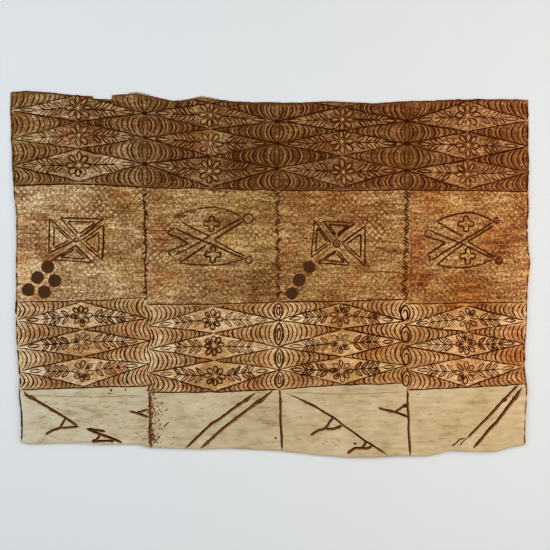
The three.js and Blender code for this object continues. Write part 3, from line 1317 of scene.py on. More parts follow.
@dataclass(frozen=True)
class CrossedStaffs:
    """A rising and a falling staff, crossed in a pointed oval, with a cross above and below."""

    centre: Spot
    rising: Staff
    falling: Staff
    fork: Spot
    upper_tip: Spot
    bows: tuple[float, float]
    crosses: Trail
    knob_fill: float = 0.0
    brush: Brush = Brush(width=0.0116, strength=1.05, thin_ends=0.06)
    cross_reach: float = 0.033
    cross_arm: float = 0.0100

    def line(self, layer: DyeLayer, spots: Iterable[Spot], brush: Brush) -> None:
        """Lays a stroke through spots counted from the crossing."""
        layer.stroke([self.centre.plus(spot) for spot in spots], brush)

    def draw_on(self, layer: DyeLayer) -> None:
        """Draws the staffs, the oval and the crosses."""
        for staff in (self.rising, self.falling):
            for spots in (staff.spine, staff.outer, staff.lens_side, (self.fork, staff.butt),
                          (staff.butt, staff.spine[1])):
                self.line(layer, spots, self.brush)
            knob = self.centre.plus(staff.knob)
            layer.oval(knob, 1.05 * staff.knob_size, staff.knob_size, self.brush)
            if self.knob_fill:
                layer.blot(knob, 0.7 * staff.knob_size, self.knob_fill, 12)
        self.bow(layer, self.upper_tip, self.rising.spine[0], self.bows[0])
        self.bow(layer, self.rising.lens_side[1], self.falling.spine[0], -self.bows[1])
        for cross in self.crosses:
            self.draw_cross(layer, cross)

    def bow(self, layer: DyeLayer, first: Spot, last: Spot, lift: float) -> None:
        """Draws one bowed side of the oval between two spots."""
        shares = [step / 12 for step in range(13)]
        self.line(layer, [Spot(mix(first.x, last.x, share),
                               mix(first.z, last.z, share) + lift * math.sin(math.pi * share**1.15))
                          for share in shares], self.brush)

    def draw_cross(self, layer: DyeLayer, middle: Spot) -> None:
        """Draws a small outlined cross with round ends."""
        arm, reach = self.cross_arm, self.cross_reach
        quarter = ((arm, arm), (arm, 0.85 * reach), (0.5 * arm, reach), (-0.5 * arm, reach),
                   (-arm, 0.85 * reach))
        path = []
        for turn in range(5):
            angle = 0.5 * math.pi * turn
            path += [Spot(middle.x + x * math.cos(angle) - z * math.sin(angle),
                          middle.z + x * math.sin(angle) + z * math.cos(angle)) for x, z in quarter]
        fine = Brush(0.95 * self.brush.width, self.brush.strength, thin_ends=0.02, step=0.005)
        self.line(layer, path[:-4], fine)


@dataclass(frozen=True)
class JointTicks:
    """The ticks down one panel joint of the figure band, over a thin cord of dye."""

    joint: int
    gap: float
    size: float
    run: int
    run_gap: float
    strays: float
    cord: Brush
    tick: Brush = Brush(width=0.0118, strength=1.1, thin_ends=0.25, step=0.006)

    def middle(self, layer: DyeLayer, z: float) -> Spot:
        """Returns a spot on the joint at a height, a little astray."""
        aside = layer.draw.uniform(-1.0, 1.0) * self.strays
        return Spot(layer.cloth.across(self.joint, z) + aside, z)

    def draw_on(self, layer: DyeLayer, layout: Layout) -> None:
        """Draws the cord and the ticks, in runs that lean to one side and then to the other."""
        z = layout.upper_line.level(self.joint, 0.0) - 0.008
        end = layout.figure_line.level(self.joint, 0.0) + 0.010
        heights = [mix(z, end, step / 24) for step in range(25)]
        layer.stroke([self.middle(layer, height) for height in heights], self.cord)
        count = 0
        while z > end:
            lean = 1.0 if (count // self.run) % 2 else -1.0
            middle = self.middle(layer, z)
            half = 0.5 * self.size * layer.draw.uniform(0.75, 1.15)
            slope = lean * layer.draw.uniform(0.6, 1.0)
            layer.stroke([middle.plus(Spot(side * half, side * slope * half))
                          for side in (-1.0, 1.0)], self.tick)
            count += 1
            z -= self.gap * layer.draw.uniform(0.85, 1.15)
            if count % self.run == 0:
                z -= self.run_gap


LEFT_STAFFS = CrossedStaffs(
    centre=Spot(-0.270, -0.579),
    rising=Staff(
        knob=Spot(0.184, 0.098), knob_size=0.0195,
        spine=trail(0.162, 0.102, -0.129, -0.062),
        outer=trail(0.164, 0.087, 0.041, 0.008),
        lens_side=trail(0.008, -0.012, -0.100, -0.087),
        butt=Spot(-0.150, -0.042)),
    falling=Staff(
        knob=Spot(0.187, -0.076), knob_size=0.0145,
        spine=trail(0.170, -0.071, -0.125, 0.058),
        outer=trail(0.172, -0.062, 0.041, 0.008),
        lens_side=trail(0.025, 0.021, -0.091, 0.083),
        butt=Spot(-0.154, 0.037)),
    fork=Spot(-0.062, -0.006),
    upper_tip=Spot(-0.138, 0.099),
    bows=(0.044, 0.018),
    crosses=trail(0.033, 0.075, 0.037, -0.053))

RIGHT_STAFFS = CrossedStaffs(
    centre=Spot(0.784, -0.579),
    rising=Staff(
        knob=Spot(0.158, 0.089), knob_size=0.0120,
        spine=trail(0.147, 0.084, -0.116, -0.079),
        outer=trail(0.147, 0.069, 0.037, 0.000),
        lens_side=trail(0.021, -0.008, -0.091, -0.095),
        butt=Spot(-0.125, -0.050)),
    falling=Staff(
        knob=Spot(0.168, -0.077), knob_size=0.0140,
        spine=trail(0.151, -0.071, -0.129, 0.054),
        outer=trail(0.154, -0.062, 0.037, 0.000),
        lens_side=trail(0.021, 0.021, -0.091, 0.087),
        butt=Spot(-0.141, 0.027)),
    fork=Spot(-0.050, -0.004),
    upper_tip=Spot(-0.091, 0.087),
    bows=(0.037, 0.023),
    crosses=trail(0.031, 0.075, 0.039, -0.058),
    knob_fill=0.3)


@dataclass(frozen=True)
class FigureBand:
    """The band of figures, with stamped dots and slanted ticks along the panel joints."""

    boxes: tuple[BoxFigure, ...] = (
        BoxFigure(Spot(-0.797, -0.571), ring=0.0090, parts=(
            trail(0.000, -0.022, 0.066, -0.095, -0.104, -0.083),
            trail(-0.010, -0.004, -0.117, -0.055, -0.111, 0.089),
            trail(0.009, 0.011, -0.072, 0.091, 0.116, 0.087),
            trail(0.017, -0.004, 0.114, 0.063, 0.106, -0.085))),
        BoxFigure(Spot(0.281, -0.585), ring=0.0155, ring_fill=0.2, parts=(
            trail(0.001, -0.029, 0.054, -0.090, -0.080, -0.080),
            trail(-0.022, 0.002, -0.108, -0.058, -0.096, 0.100),
            trail(-0.004, 0.020, -0.058, 0.093, 0.081, 0.083),
            trail(0.023, 0.001, 0.118, 0.072, 0.112, -0.095))),
    )
    staffs: tuple[CrossedStaffs, ...] = (LEFT_STAFFS, RIGHT_STAFFS)
    ticks: tuple[JointTicks, ...] = (
        JointTicks(1, gap=0.014, size=0.020, run=1, run_gap=0.010, strays=0.0048,
                   cord=Brush(width=0.0160, strength=0.85, thin_ends=0.1, rise=0.6)),
        JointTicks(2, gap=0.011, size=0.026, run=2, run_gap=0.016, strays=0.0020,
                   cord=Brush(width=0.0060, strength=0.35, thin_ends=0.1)),
        JointTicks(3, gap=0.0125, size=0.027, run=3, run_gap=0.010, strays=0.0022,
                   cord=Brush(width=0.0120, strength=0.30, thin_ends=0.1, rise=0.4)),
    )
    faint: Brush = Brush(width=0.0070, strength=0.35, thin_ends=0.2)
    faint_lines: tuple[Trail, ...] = (
        trail(0.586, -0.420, 0.589, -0.620, 0.587, -0.820),
        trail(0.412, -0.574, 0.480, -0.577, 0.556, -0.583),
        trail(0.380, -0.704, 0.470, -0.702, 0.556, -0.706),
        trail(-0.508, -0.530, -0.452, -0.530, -0.420, -0.531),
        trail(-0.494, -0.617, -0.450, -0.617, -0.412, -0.616),
        trail(-0.400, -0.476, -0.364, -0.471, -0.326, -0.466),
        trail(-0.396, -0.481, -0.362, -0.477, -0.334, -0.470),
    )
    smears: tuple[tuple[Spot, float], ...] = (
        (Spot(-0.053, -0.432), 0.011), (Spot(-0.006, -0.602), 0.006), (Spot(0.388, -0.572), 0.006),
        (Spot(-0.226, -0.706), 0.010),
    )

    def draw_on(self, layer: DyeLayer, layout: Layout) -> None:
        """Draws the figures, the joints' ticks, and the faint lines and smears between them.

        Args:
            layer: The layer that takes the strokes.
            layout: Where the bands lie.
        """
        for figure in self.boxes + self.staffs:
            figure.draw_on(layer)
        for ticks in self.ticks:
            ticks.draw_on(layer, layout)
        for line in self.faint_lines:
            layer.stroke(line, self.faint)
        for spot, size in self.smears:
            layer.stroke([spot.plus(Spot(-size, 0.0)), spot, spot.plus(Spot(size, 0.3 * size))],
                         Brush(1.3 * size, 0.35, 0.5, step=0.004, rise=0.5))


@dataclass(frozen=True)
class StampedDots:
    """The round dots stamped in the lower left corners of two panels."""

    dots: Trail = (
        Spot(-0.917, -0.681), Spot(-0.957, -0.727), Spot(-0.888, -0.739), Spot(-0.997, -0.778),
        Spot(-0.929, -0.786), Spot(0.166, -0.683), Spot(0.127, -0.735), Spot(0.095, -0.792),
    )
    radius: float = 0.0278
    stains: tuple[tuple[Spot, float], ...] = (
        (Spot(0.440, -0.882), 0.0115), (Spot(0.452, -0.874), 0.0070),
    )

    def draw_on(self, layer: DyeLayer) -> None:
        """Stamps the dots."""
        for dot in self.dots:
            layer.blot(dot, self.radius * layer.draw.uniform(0.95, 1.05), 0.9, 28)
        for stain, size in self.stains:
            layer.blot(stain, size, 1.1, 12)


@dataclass(frozen=True)
class PaleStrip:
    """The pale strip: dividers on the joints, thorned branches and paired slanting bars."""

    wide: Brush = Brush(width=0.0225, strength=0.34, thin_ends=0.06, rise=0.6, uneven=0.45)
    core: Brush = Brush(width=0.0130, strength=1.15, thin_ends=0.08, uneven=0.45)
    wide_shift: Spot = Spot(0.0024, -0.0018)
    edge: Brush = Brush(width=0.0105, strength=0.95, thin_ends=0.1)
    left_branch: tuple[Trail, ...] = (
        trail(-1.015, -1.197, -1.005, -1.214, -0.976, -1.228, -0.909, -1.267, -0.842, -1.307,
              -0.789, -1.345),
        trail(-0.842, -1.307, -0.867, -1.347, -0.901, -1.360, -0.927, -1.376),
        trail(-0.867, -1.347, -0.826, -1.345, -0.789, -1.345),
        trail(-0.755, -1.350, -0.701, -1.373, -0.652, -1.391, -0.609, -1.409),
        trail(-0.750, -1.351, -0.705, -1.358, -0.676, -1.364),
        trail(-0.697, -1.375, -0.714, -1.395, -0.735, -1.402),
        trail(-0.735, -1.402, -0.685, -1.402, -0.640, -1.401),
        trail(-0.581, -1.280, -0.552, -1.287, -0.500, -1.305),
        trail(-0.552, -1.287, -0.500, -1.271),
    )
    right_branch: tuple[Trail, ...] = (
        trail(0.073, -1.206, 0.149, -1.237, 0.266, -1.305, 0.357, -1.374, 0.403, -1.405,
              0.490, -1.461),
        trail(0.264, -1.303, 0.232, -1.350, 0.203, -1.358, 0.172, -1.379),
        trail(0.232, -1.350, 0.262, -1.352, 0.303, -1.338),
        trail(0.401, -1.403, 0.384, -1.431, 0.357, -1.430, 0.322, -1.453),
        trail(0.384, -1.431, 0.405, -1.434, 0.429, -1.423),
        trail(0.452, -1.264, 0.486, -1.273, 0.519, -1.281, 0.577, -1.303),
        trail(0.519, -1.281, 0.544, -1.265, 0.575, -1.247),
    )
    bars: tuple[Trail, ...] = (
        trail(-0.058, -1.203, -0.237, -1.330, -0.349, -1.434),
        trail(0.014, -1.193, -0.178, -1.338, -0.286, -1.434),
        trail(1.031, -1.170, 0.942, -1.262, 0.876, -1.328, 0.820, -1.388),
        trail(1.046, -1.181, 0.992, -1.255, 0.925, -1.338, 0.842, -1.432),
    )
    twig: Brush = Brush(width=0.0095, strength=0.95, thin_ends=0.1)
    twigs: tuple[Trail, ...] = (
        trail(0.824, -1.386, 0.806, -1.402, 0.788, -1.423),
        trail(0.814, -1.390, 0.793, -1.394, 0.774, -1.411, 0.755, -1.426),
        trail(-0.437, -1.346, -0.424, -1.333, -0.411, -1.323),
    )
    spots: tuple[tuple[Spot, float], ...] = (
        (Spot(0.357, -1.413), 0.0055), (Spot(-0.652, -1.194), 0.0055),
        (Spot(-0.594, -1.190), 0.0045), (Spot(-0.660, -1.206), 0.0035),
        (Spot(0.027, -1.391), 0.0050),
    )
    # Stains beside the first joint: a height, how far they spread up and out, and how many.
    stains: tuple[tuple[float, float, float, int], ...] = (
        (-1.185, 0.016, 0.012, 54), (-1.290, 0.036, 0.016, 190), (-1.385, 0.020, 0.013, 120),
    )

    def draw_on(self, layer: DyeLayer, layout: Layout) -> None:
        """Draws the strip's strokes and stains.

        Args:
            layer: The layer that takes the strokes.
            layout: Where the strip's upper line lies.
        """
        cloth = layer.cloth
        paths = list(self.left_branch + self.right_branch + self.bars)
        for joint in range(1, PANELS):
            top = layout.lower_line.level(joint, 0.0)
            bottom = cloth.edge_spot(joint, False).z + 0.003
            heights = [mix(top, bottom, step / 8) for step in range(9)]
            paths.append([Spot(cloth.across(joint, z), z) for z in heights])
        for path in paths:
            layer.stroke([spot.plus(self.wide_shift) for spot in path], self.wide)
            layer.stroke(path, self.core)
        for path in self.twigs:
            layer.stroke(path, self.twig)
        for spot, size in self.spots:
            layer.blot(spot, size, 1.1, 9)
        for middle, spread, reach, count in self.stains:
            for index in range(count):
                z = layer.draw.gauss(middle, spread)
                start = Spot(cloth.across(1, z) + layer.draw.expovariate(1.0 / reach) - 0.003, z)
                size, strength = layer.draw.uniform(0.0040, 0.0105), layer.draw.uniform(-0.1, 0.8)
                if index % 2:
                    layer.blot(start, 0.35 * size, strength, 8)
                else:
                    end = start.ray(layer.draw.uniform(0.0, math.tau), 1.3 * size)
                    layer.stroke([start, end], Brush(size, strength, 0.3, step=0.003))
        side = [Spot(cloth.across(0, z) + 0.0048, z) for z in (-1.21, -1.25, -1.30, -1.35, -1.41)]
        layer.stroke(side, self.edge)


@dataclass(frozen=True)
class FaintMarks:
    """The strip's faint marks: scratches and fibres, and a line of painted shade along its level
    crease.
    """

    scratch: Brush = Brush(width=0.0044, strength=0.85, thin_ends=0.4, step=0.006, rise=0.7)
    # Painted shade: a darker line laid along the level crease, where the fold's shade falls.
    crease: Brush = Brush(width=0.0080, strength=0.40, thin_ends=0.1, rise=0.5)
    fibre: Brush = Brush(width=0.0026, strength=0.30, thin_ends=0.5, step=0.003)
    scratch_count: int = 240
    # Frayed stretches of the top edge: where each begins and ends.
    frayed: tuple[tuple[float, float], ...] = ((-0.590, -0.495), (-0.320, -0.200))
    fibre_count: int = 70

    def draw_on(self, layer: DyeLayer) -> None:
        """Draws the marks, the painted shade line along the crease, and the loose fibres on the top
        edge.
        """
        cloth = layer.cloth
        for first, last in self.frayed:
            for _ in range(self.fibre_count):
                x = layer.draw.triangular(first, last)
                root = Spot(x, cloth.top(x) - 0.003)
                lean, rise = layer.draw.uniform(-0.006, 0.012), layer.draw.uniform(0.003, 0.008)
                layer.stroke([root, root.plus(Spot(lean, rise))], self.fibre, margin=-0.010)
        for _ in range(self.scratch_count):
            column = layer.draw.triangular(0.03, 3.97, 0.2)
            z = layer.draw.uniform(-1.43, -1.20)
            x = cloth.across(column, z)
            reach = layer.draw.uniform(0.003, 0.014)
            slope, curl = layer.draw.uniform(-0.5, 0.5), layer.draw.uniform(-0.5, 0.5)
            layer.stroke([Spot(x - reach, z - slope * reach), Spot(x, z + curl * reach),
                          Spot(x + reach, z + slope * reach)], self.scratch)
        # Painted shade along the level crease of the first and third panels.
        for panel, level in ((0, -1.219), (2, -1.206)):
            wave = [(share, level + 0.004 * math.sin(9.0 * share))
                    for share in (0.02, 0.2, 0.4, 0.6, 0.8, 0.97)]
            layer.stroke([Spot(cloth.across(panel + share, level), z) for share, z in wave],
                         self.crease)


@dataclass(frozen=True)
class BandRules:
    """The rules between the bands and down the cloth's side edges."""

    rule: Brush = Brush(width=0.0092, strength=0.98, thin_ends=0.03)
    side: Brush = Brush(width=0.0080, strength=0.9, thin_ends=0.2)
    margin: Brush = Brush(width=0.0070, strength=0.55, thin_ends=0.02)
    inset: float = 0.0045

    def draw_on(self, layer: DyeLayer, layout: Layout) -> None:
        """Draws the rules.

        Args:
            layer: The layer that takes the strokes.
            layout: Where the bands lie.
        """
        cloth = layer.cloth
        for band in (Band.UPPER_LOZENGES, Band.FIGURES, Band.LOWER_LOZENGES):
            for panel in range(PANELS):
                path = []
                for step in range(13):
                    z = layout.line_under(band).level(panel, step / 12)
                    path.append(Spot(cloth.across(panel + step / 12, z), z))
                layer.stroke(path, self.rule)
        self.draw_sides(layer)
        steps = [0.02 + 0.04 * step for step in range(100)]
        tops = [cloth.edge_spot(column, True) for column in steps]
        layer.stroke([Spot(spot.x, spot.z - self.inset) for spot in tops], self.margin)

    def draw_sides(self, layer: DyeLayer) -> None:
        """Draws broken dark dashes down both side edges."""
        for column, inward in ((0, 1.0), (PANELS, -1.0)):
            z = -0.01
            while z > -1.40:
                dash = layer.draw.uniform(0.02, 0.07)
                heights = [z - dash * share for share in (0.0, 0.5, 1.0)]
                inset = inward * self.inset
                layer.stroke([Spot(layer.cloth.across(column, height) + inset, height)
                              for height in heights], self.side)
                z -= dash + layer.draw.uniform(0.002, 0.02)


@dataclass(frozen=True)
class ClothSheet:
    """The sheet itself: a grid whose rows follow the bands and whose columns follow the panels."""

    cloth: ClothShape
    layout: Layout
    pitch: float = 0.0098
    joint_half_gap: float = 0.0008
    # Rows halved at the level crease, counted from the strip's top, or from the end above it.
    halved_rows: ClassVar[dict[Band, range]] = {
        Band.LOWER_LOZENGES: range(-6, 0), Band.PALE_STRIP: range(0, 9),
    }

    def columns(self) -> list[tuple[int, float, float]]:
        """Returns the grid's columns: the panel, the share of its width and a small step aside."""
        columns = []
        for panel in range(PANELS):
            width = self.cloth.across(panel + 1, -0.7) - self.cloth.across(panel, -0.7)
            count = math.ceil(width / self.pitch)
            shares = {index / count for index in range(count + 1)}
            for x, z in self.cloth.top_edge + self.cloth.bottom_edge:
                share = self.cloth.column_at(Spot(x, z)) - panel
                if 0.004 < share < 0.996 and min(abs(share - other) for other in shares) > 0.003:
                    shares.add(share)
            for share in sorted(shares):
                aside = 0.0
                if share == 0.0 and panel > 0:
                    aside = self.joint_half_gap
                if share == 1.0 and panel < PANELS - 1:
                    aside = -self.joint_half_gap
                columns.append((panel, share, aside))
        return columns

    def row_shares(self) -> list[tuple[Band, float]]:
        """Returns the grid's rows: the band and the share of its height down from its top."""
        heights = {Band.UPPER_LOZENGES: 0.375, Band.FIGURES: 0.475, Band.LOWER_LOZENGES: 0.365,
                   Band.PALE_STRIP: 0.265}
        rows = [(Band.UPPER_LOZENGES, 0.0)]
        for band, height in heights.items():
            count = math.ceil(height / self.pitch)
            halves = self.halved_rows.get(band, range(0))
            for index in range(count):
                if index - count in halves or index in halves:
                    rows.append((band, (index + 0.5) / count))
                rows.append((band, (index + 1) / count))
        return rows

    def column_spots(self, panel: int, share: float, aside: float,
                     rows: Sequence[tuple[Band, float]]) -> list[Spot]:
        """Returns the spots of one column, from the top edge to the hem."""
        column = panel + share
        levels = [
            self.cloth.edge_spot(column, True).z,
            *(self.layout.line_under(band).level(panel, share)
              for band in (Band.UPPER_LOZENGES, Band.FIGURES, Band.LOWER_LOZENGES)),
            self.cloth.edge_spot(column, False).z,
        ]
        spots = []
        for band, down in rows:
            z = mix(levels[band], levels[band + 1], down)
            place = panel + 1 if share == 1.0 and panel < PANELS - 1 else column
            spots.append(Spot(self.cloth.across(place, z) + aside, z))
        return spots

    def chart(self, panel: int, share: float, band: Band, spot: Spot) -> tuple[float, float]:
        """Returns a spot's place on the chart: the column, and the row of its lozenge band."""
        if band == Band.UPPER_LOZENGES:
            return panel + share, self.layout.upper_rows[panel].row_at(spot.z, share)
        return panel + share, self.layout.lower_rows[panel].row_at(spot.z, share)

    def build(self, finishes: Sequence[bpy.types.Material]) -> bpy.types.Object:
        """Builds the sheet with its thickness.

        Args:
            finishes: The bands' finishes in order, and then the back's.

        Returns:
            The piece.
        """
        columns, rows = self.columns(), self.row_shares()
        points, chart = [], []
        for panel, share, aside in columns:
            for (band, _), spot in zip(rows, self.column_spots(panel, share, aside, rows)):
                points.append((spot.x, self.cloth.front(spot), spot.z))
                chart.append(self.chart(panel, share, band, spot))
        faces, slots = [], []
        tall = len(rows)
        for column in range(len(columns) - 1):
            first = column * tall
            if columns[column][2] < 0.0:
                self.zip_joint(points, first, tall, rows, faces, slots)
                continue
            for row in range(first, first + tall - 1):
                faces.append((row, row + 1, row + 1 + tall, row + tall))
                slots.append(int(rows[row + 1 - first][0]))
        mesh = bpy.data.meshes.new("bark_cloth_sheet")
        mesh.from_pydata(points, [], faces)
        mesh.polygons.foreach_set("material_index", slots)
        mesh.polygons.foreach_set("use_smooth", [True] * len(faces))
        layer = mesh.uv_layers.new(name="Chart")
        corners = [value for loop in mesh.loops for value in chart[loop.vertex_index]]
        layer.data.foreach_set("uv", corners)
        for finish in finishes:
            mesh.materials.append(finish)
        piece = bpy.data.objects.new("bark_cloth_sheet", mesh)
        bpy.context.scene.collection.objects.link(piece)
        self.thicken(piece)
        return piece

    def zip_joint(self, points: Sequence[tuple[float, float, float]], first: int, tall: int,
                  rows: Sequence[tuple[Band, float]], faces: list[tuple[int, ...]],
                  slots: list[int]) -> None:
        """Joins two columns whose rows lie at other heights, going down both together.

        Args:
            points: The grid's points.
            first: The number of the left column's top point.
            tall: How many points a column has.
            rows: The grid's rows.
            faces: Takes the new faces.
            slots: Takes the new faces' finishes.
        """
        left = right = 0
        while left < tall - 1 or right < tall - 1:
            lower_left, lower_right = first + left + 1, first + tall + right + 1
            goes_left = right == tall - 1 or (
                left < tall - 1 and points[lower_left][2] >= points[lower_right][2])
            if goes_left:
                faces.append((first + left, lower_left, first + tall + right))
                left += 1
                slots.append(int(rows[left][0]))
            else:
                faces.append((first + left, lower_right, first + tall + right))
                right += 1
                slots.append(int(rows[right][0]))

    def thicken(self, piece: bpy.types.Object) -> None:
        """Gives the sheet its thickness towards the wall and the back its own finish."""
        select_only(piece)
        shell = piece.modifiers.new("Thickness", "SOLIDIFY")
        shell.thickness = self.cloth.thickness
        shell.offset = -1.0
        shell.use_rim = True
        bpy.ops.object.modifier_apply(modifier=shell.name)
        back = len(piece.data.materials) - 1
        for face in piece.data.polygons:
            if face.normal.y > -0.3:
                face.material_index = back

    def declare(self, piece: bpy.types.Object) -> None:
        """Hides the cloth's CAD part and attaches the sheet to the body."""
        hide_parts(CLOTH_NODE)
        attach(piece, BODY)


def select_only(piece: bpy.types.Object) -> None:
    """Selects one object and makes it active."""
    bpy.ops.object.select_all(action="DESELECT")
    piece.select_set(True)
    bpy.context.view_layer.objects.active = piece


@dataclass(frozen=True)
class Lamp:
    """A broad, soft, square lamp."""

    name: str
    place: tuple[float, float, float]
    size: float
    power: float
    colour: Colour = (1.0, 1.0, 1.0)

    def build(self, target: Vector) -> None:
        """Adds the lamp, pointed at a target."""
        data = bpy.data.lights.new(self.name, "AREA")
        data.shape = "SQUARE"
        data.size = self.size
        data.energy = self.power
        data.color = self.colour
        lamp = bpy.data.objects.new(self.name, data)
        lamp.location = self.place
        aim = target - lamp.location
        lamp.rotation_euler = aim.to_track_quat("-Z", "Y").to_euler()
        bpy.context.scene.collection.objects.link(lamp)


@dataclass(frozen=True)
class Studio:
    """The pale wall and floor, the soft lights and the camera."""

    view_centre: Spot = Spot(0.0249, -0.7159)
    view_width: float = 2.2825
    lens: float = 80.0
    sensor: float = 36.0
    wall_gap: float = 0.002
    floor_level: float = -2.05
    surface_size: float = 14.0
    wall_colour: Colour = linear(228, 230, 232)
    air_colour: Colour = (0.93, 0.95, 1.0)
    air_strength: float = 0.30
    lamps: tuple[Lamp, ...] = (
        Lamp("cool_light", (-2.9, -2.8, 0.2), 2.8, 57.0, (0.80, 0.93, 1.0)),
        Lamp("warm_light", (3.0, -2.8, -0.2), 2.8, 74.0, (1.0, 0.90, 0.76)),
        Lamp("front_light", (0.0, -4.6, 0.3), 3.6, 42.0),
        Lamp("back_light", (0.0, 3.5, 0.6), 3.0, 60.0),
    )

    def build(self) -> None:
        """Builds the studio."""
        self.camera()
        self.surfaces()
        for lamp in self.lamps:
            lamp.build(Vector((self.view_centre.x, 0.0, self.view_centre.z)))
        world = bpy.data.worlds.new("soft_air")
        world.use_nodes = True
        background = world.node_tree.nodes["Background"]
        background.inputs["Color"].default_value = (*self.air_colour, 1.0)
        background.inputs["Strength"].default_value = self.air_strength
        bpy.context.scene.world = world
        bpy.context.scene.view_settings.view_transform = "Standard"

    def camera(self) -> None:
        """Sets the camera square on to the cloth, with the photograph's framing."""
        data = bpy.data.cameras.new("camera")
        data.lens = self.lens
        data.sensor_width = self.sensor
        camera = bpy.data.objects.new("camera", data)
        far = self.view_width * self.lens / self.sensor
        camera.location = (self.view_centre.x, -far, self.view_centre.z)
        camera.rotation_euler = (math.radians(90.0), 0.0, 0.0)
        bpy.context.scene.collection.objects.link(camera)
        bpy.context.scene.camera = camera

    def surfaces(self) -> None:
        """Adds the wall, which is clear from behind, and the floor."""
        material = bpy.data.materials.new("pale_paint")
        material.use_nodes = True
        tree = material.node_tree
        shader = tree.nodes["Principled BSDF"]
        shader.inputs["Base Color"].default_value = (*self.wall_colour, 1.0)
        shader.inputs["Roughness"].default_value = 0.9
        clear = tree.nodes.new("ShaderNodeBsdfTransparent")
        side = tree.nodes.new("ShaderNodeNewGeometry")
        blend = tree.nodes.new("ShaderNodeMixShader")
        tree.links.new(side.outputs["Backfacing"], blend.inputs[0])
        tree.links.new(shader.outputs[0], blend.inputs[1])
        tree.links.new(clear.outputs[0], blend.inputs[2])
        tree.links.new(blend.outputs[0], tree.nodes["Material Output"].inputs[0])
        bpy.ops.object.select_all(action="DESELECT")
        bpy.ops.mesh.primitive_plane_add(
            size=self.surface_size, location=(0.0, self.wall_gap, -0.7),
            rotation=(math.radians(90.0), 0.0, 0.0))
        wall = bpy.context.object
        wall.name = "wall"
        wall.visible_shadow = wall.visible_diffuse = wall.visible_glossy = False
        bpy.ops.mesh.primitive_plane_add(
            size=self.surface_size, location=(0.0, 0.0, self.floor_level))
        floor = bpy.context.object
        floor.name = "floor"
        for surface in (wall, floor):
            surface.data.materials.append(material)


def sheet_finishes() -> list[bpy.types.Material]:
    """Returns the finishes of the four bands and of the back."""
    # Each finish's tints hold painted light, a cool cast at the left and a warm cast at the right,
    # over the cloth's tone.
    bark = BarkFinish()
    upper_ground = RubbedFinish(
        pale=linear(230, 202, 160), middle=linear(126, 88, 48), dark=linear(58, 30, 6),
        tints=((1.18, 1.20, 1.20), (0.59, 0.44, 0.31), (1.20, 0.86, 0.65)), inside_lift=0.20,
        joint_lift=-0.04, red_places=ovals(
            (-1.017, -0.085, 0.045, 0.040, 0.5), (-0.768, -0.102, 0.050, 0.022, 0.5),
            (-0.685, -0.193, 0.045, 0.024, 0.6), (-0.199, -0.091, 0.050, 0.022, 0.6),
            (-0.133, -0.234, 0.035, 0.024, 0.6), (-0.793, 0.017, 0.050, 0.018, 0.5),
            (0.130, -0.140, 0.040, 0.030, 0.4), (0.940, -0.133, 0.050, 0.030, 0.4),
        ))
    figure_ground = RubbedFinish(
        pale=linear(240, 214, 170), middle=linear(160, 120, 76), dark=linear(88, 50, 20),
        tints=((1.07, 1.10, 1.13), (0.77, 0.66, 0.47), (1.10, 0.85, 0.61)),
        lattice=0.45, blotch=0.46, fleck=1.5, streak=1.5, patches=0.95, plain_places=ovals(
            (-0.800, -0.570, 0.120, 0.095, 0.06), (0.285, -0.586, 0.120, 0.095, 0.05),
            (-0.178, -0.480, 0.080, 0.036, -0.28), (-0.236, -0.572, 0.165, 0.110, 0.02),
            (0.800, -0.577, 0.150, 0.105, 0.02), (-1.000, -0.720, 0.100, 0.110, 0.22),
        ), red_places=ovals(
            (-0.606, -0.384, 0.060, 0.034, 0.5), (-0.445, -0.540, 0.045, 0.070, 0.6),
            (-0.187, -0.720, 0.030, 0.034, 0.6), (0.274, -0.395, 0.070, 0.040, 0.6),
            (0.615, -0.585, 0.040, 0.070, 0.7), (0.965, -0.562, 0.110, 0.080, 0.6),
            (0.690, -0.440, 0.070, 0.050, 0.5),
        ))
    lower_ground = RubbedFinish(
        pale=linear(252, 234, 206), middle=linear(186, 146, 100), dark=linear(96, 56, 24),
        tints=((1.05, 1.06, 1.07), (0.98, 0.86, 0.64), (1.10, 0.81, 0.58)),
        inside_lift=0.24, joint_lift=0.08, tip_drop=0.18, cloud=1.3, red_places=ovals(
            (-0.639, -1.106, 0.050, 0.032, 1.0), (-0.170, -1.146, 0.022, 0.020, 0.8),
            (-0.091, -1.160, 0.055, 0.026, 0.6), (-0.025, -1.048, 0.035, 0.036, 0.5),
            (-0.328, -1.174, 0.035, 0.024, 0.6), (-0.569, -1.031, 0.060, 0.040, 0.4),
            (-0.975, -0.940, 0.060, 0.034, 0.4), (-0.888, -1.165, 0.045, 0.018, 0.6),
            (0.436, -0.886, 0.040, 0.020, 0.7), (0.419, -1.027, 0.060, 0.032, 0.5),
            (0.867, -0.927, 0.055, 0.026, 0.5), (1.025, -0.961, 0.045, 0.036, 0.6),
            (1.021, -1.052, 0.050, 0.036, 0.7), (0.751, -0.853, 0.055, 0.024, 0.4),
        ))
    return [
        upper_ground.build("upper_rubbed_bark"),
        figure_ground.build("figure_rubbed_bark"),
        lower_ground.build("lower_rubbed_bark"),
        bark.build("pale_bark", linear(224, 210, 180), linear(200, 182, 146), linear(152, 128, 90)),
        bark.build("back_bark", linear(206, 188, 152), linear(190, 168, 130), linear(142, 112, 76)),
    ]


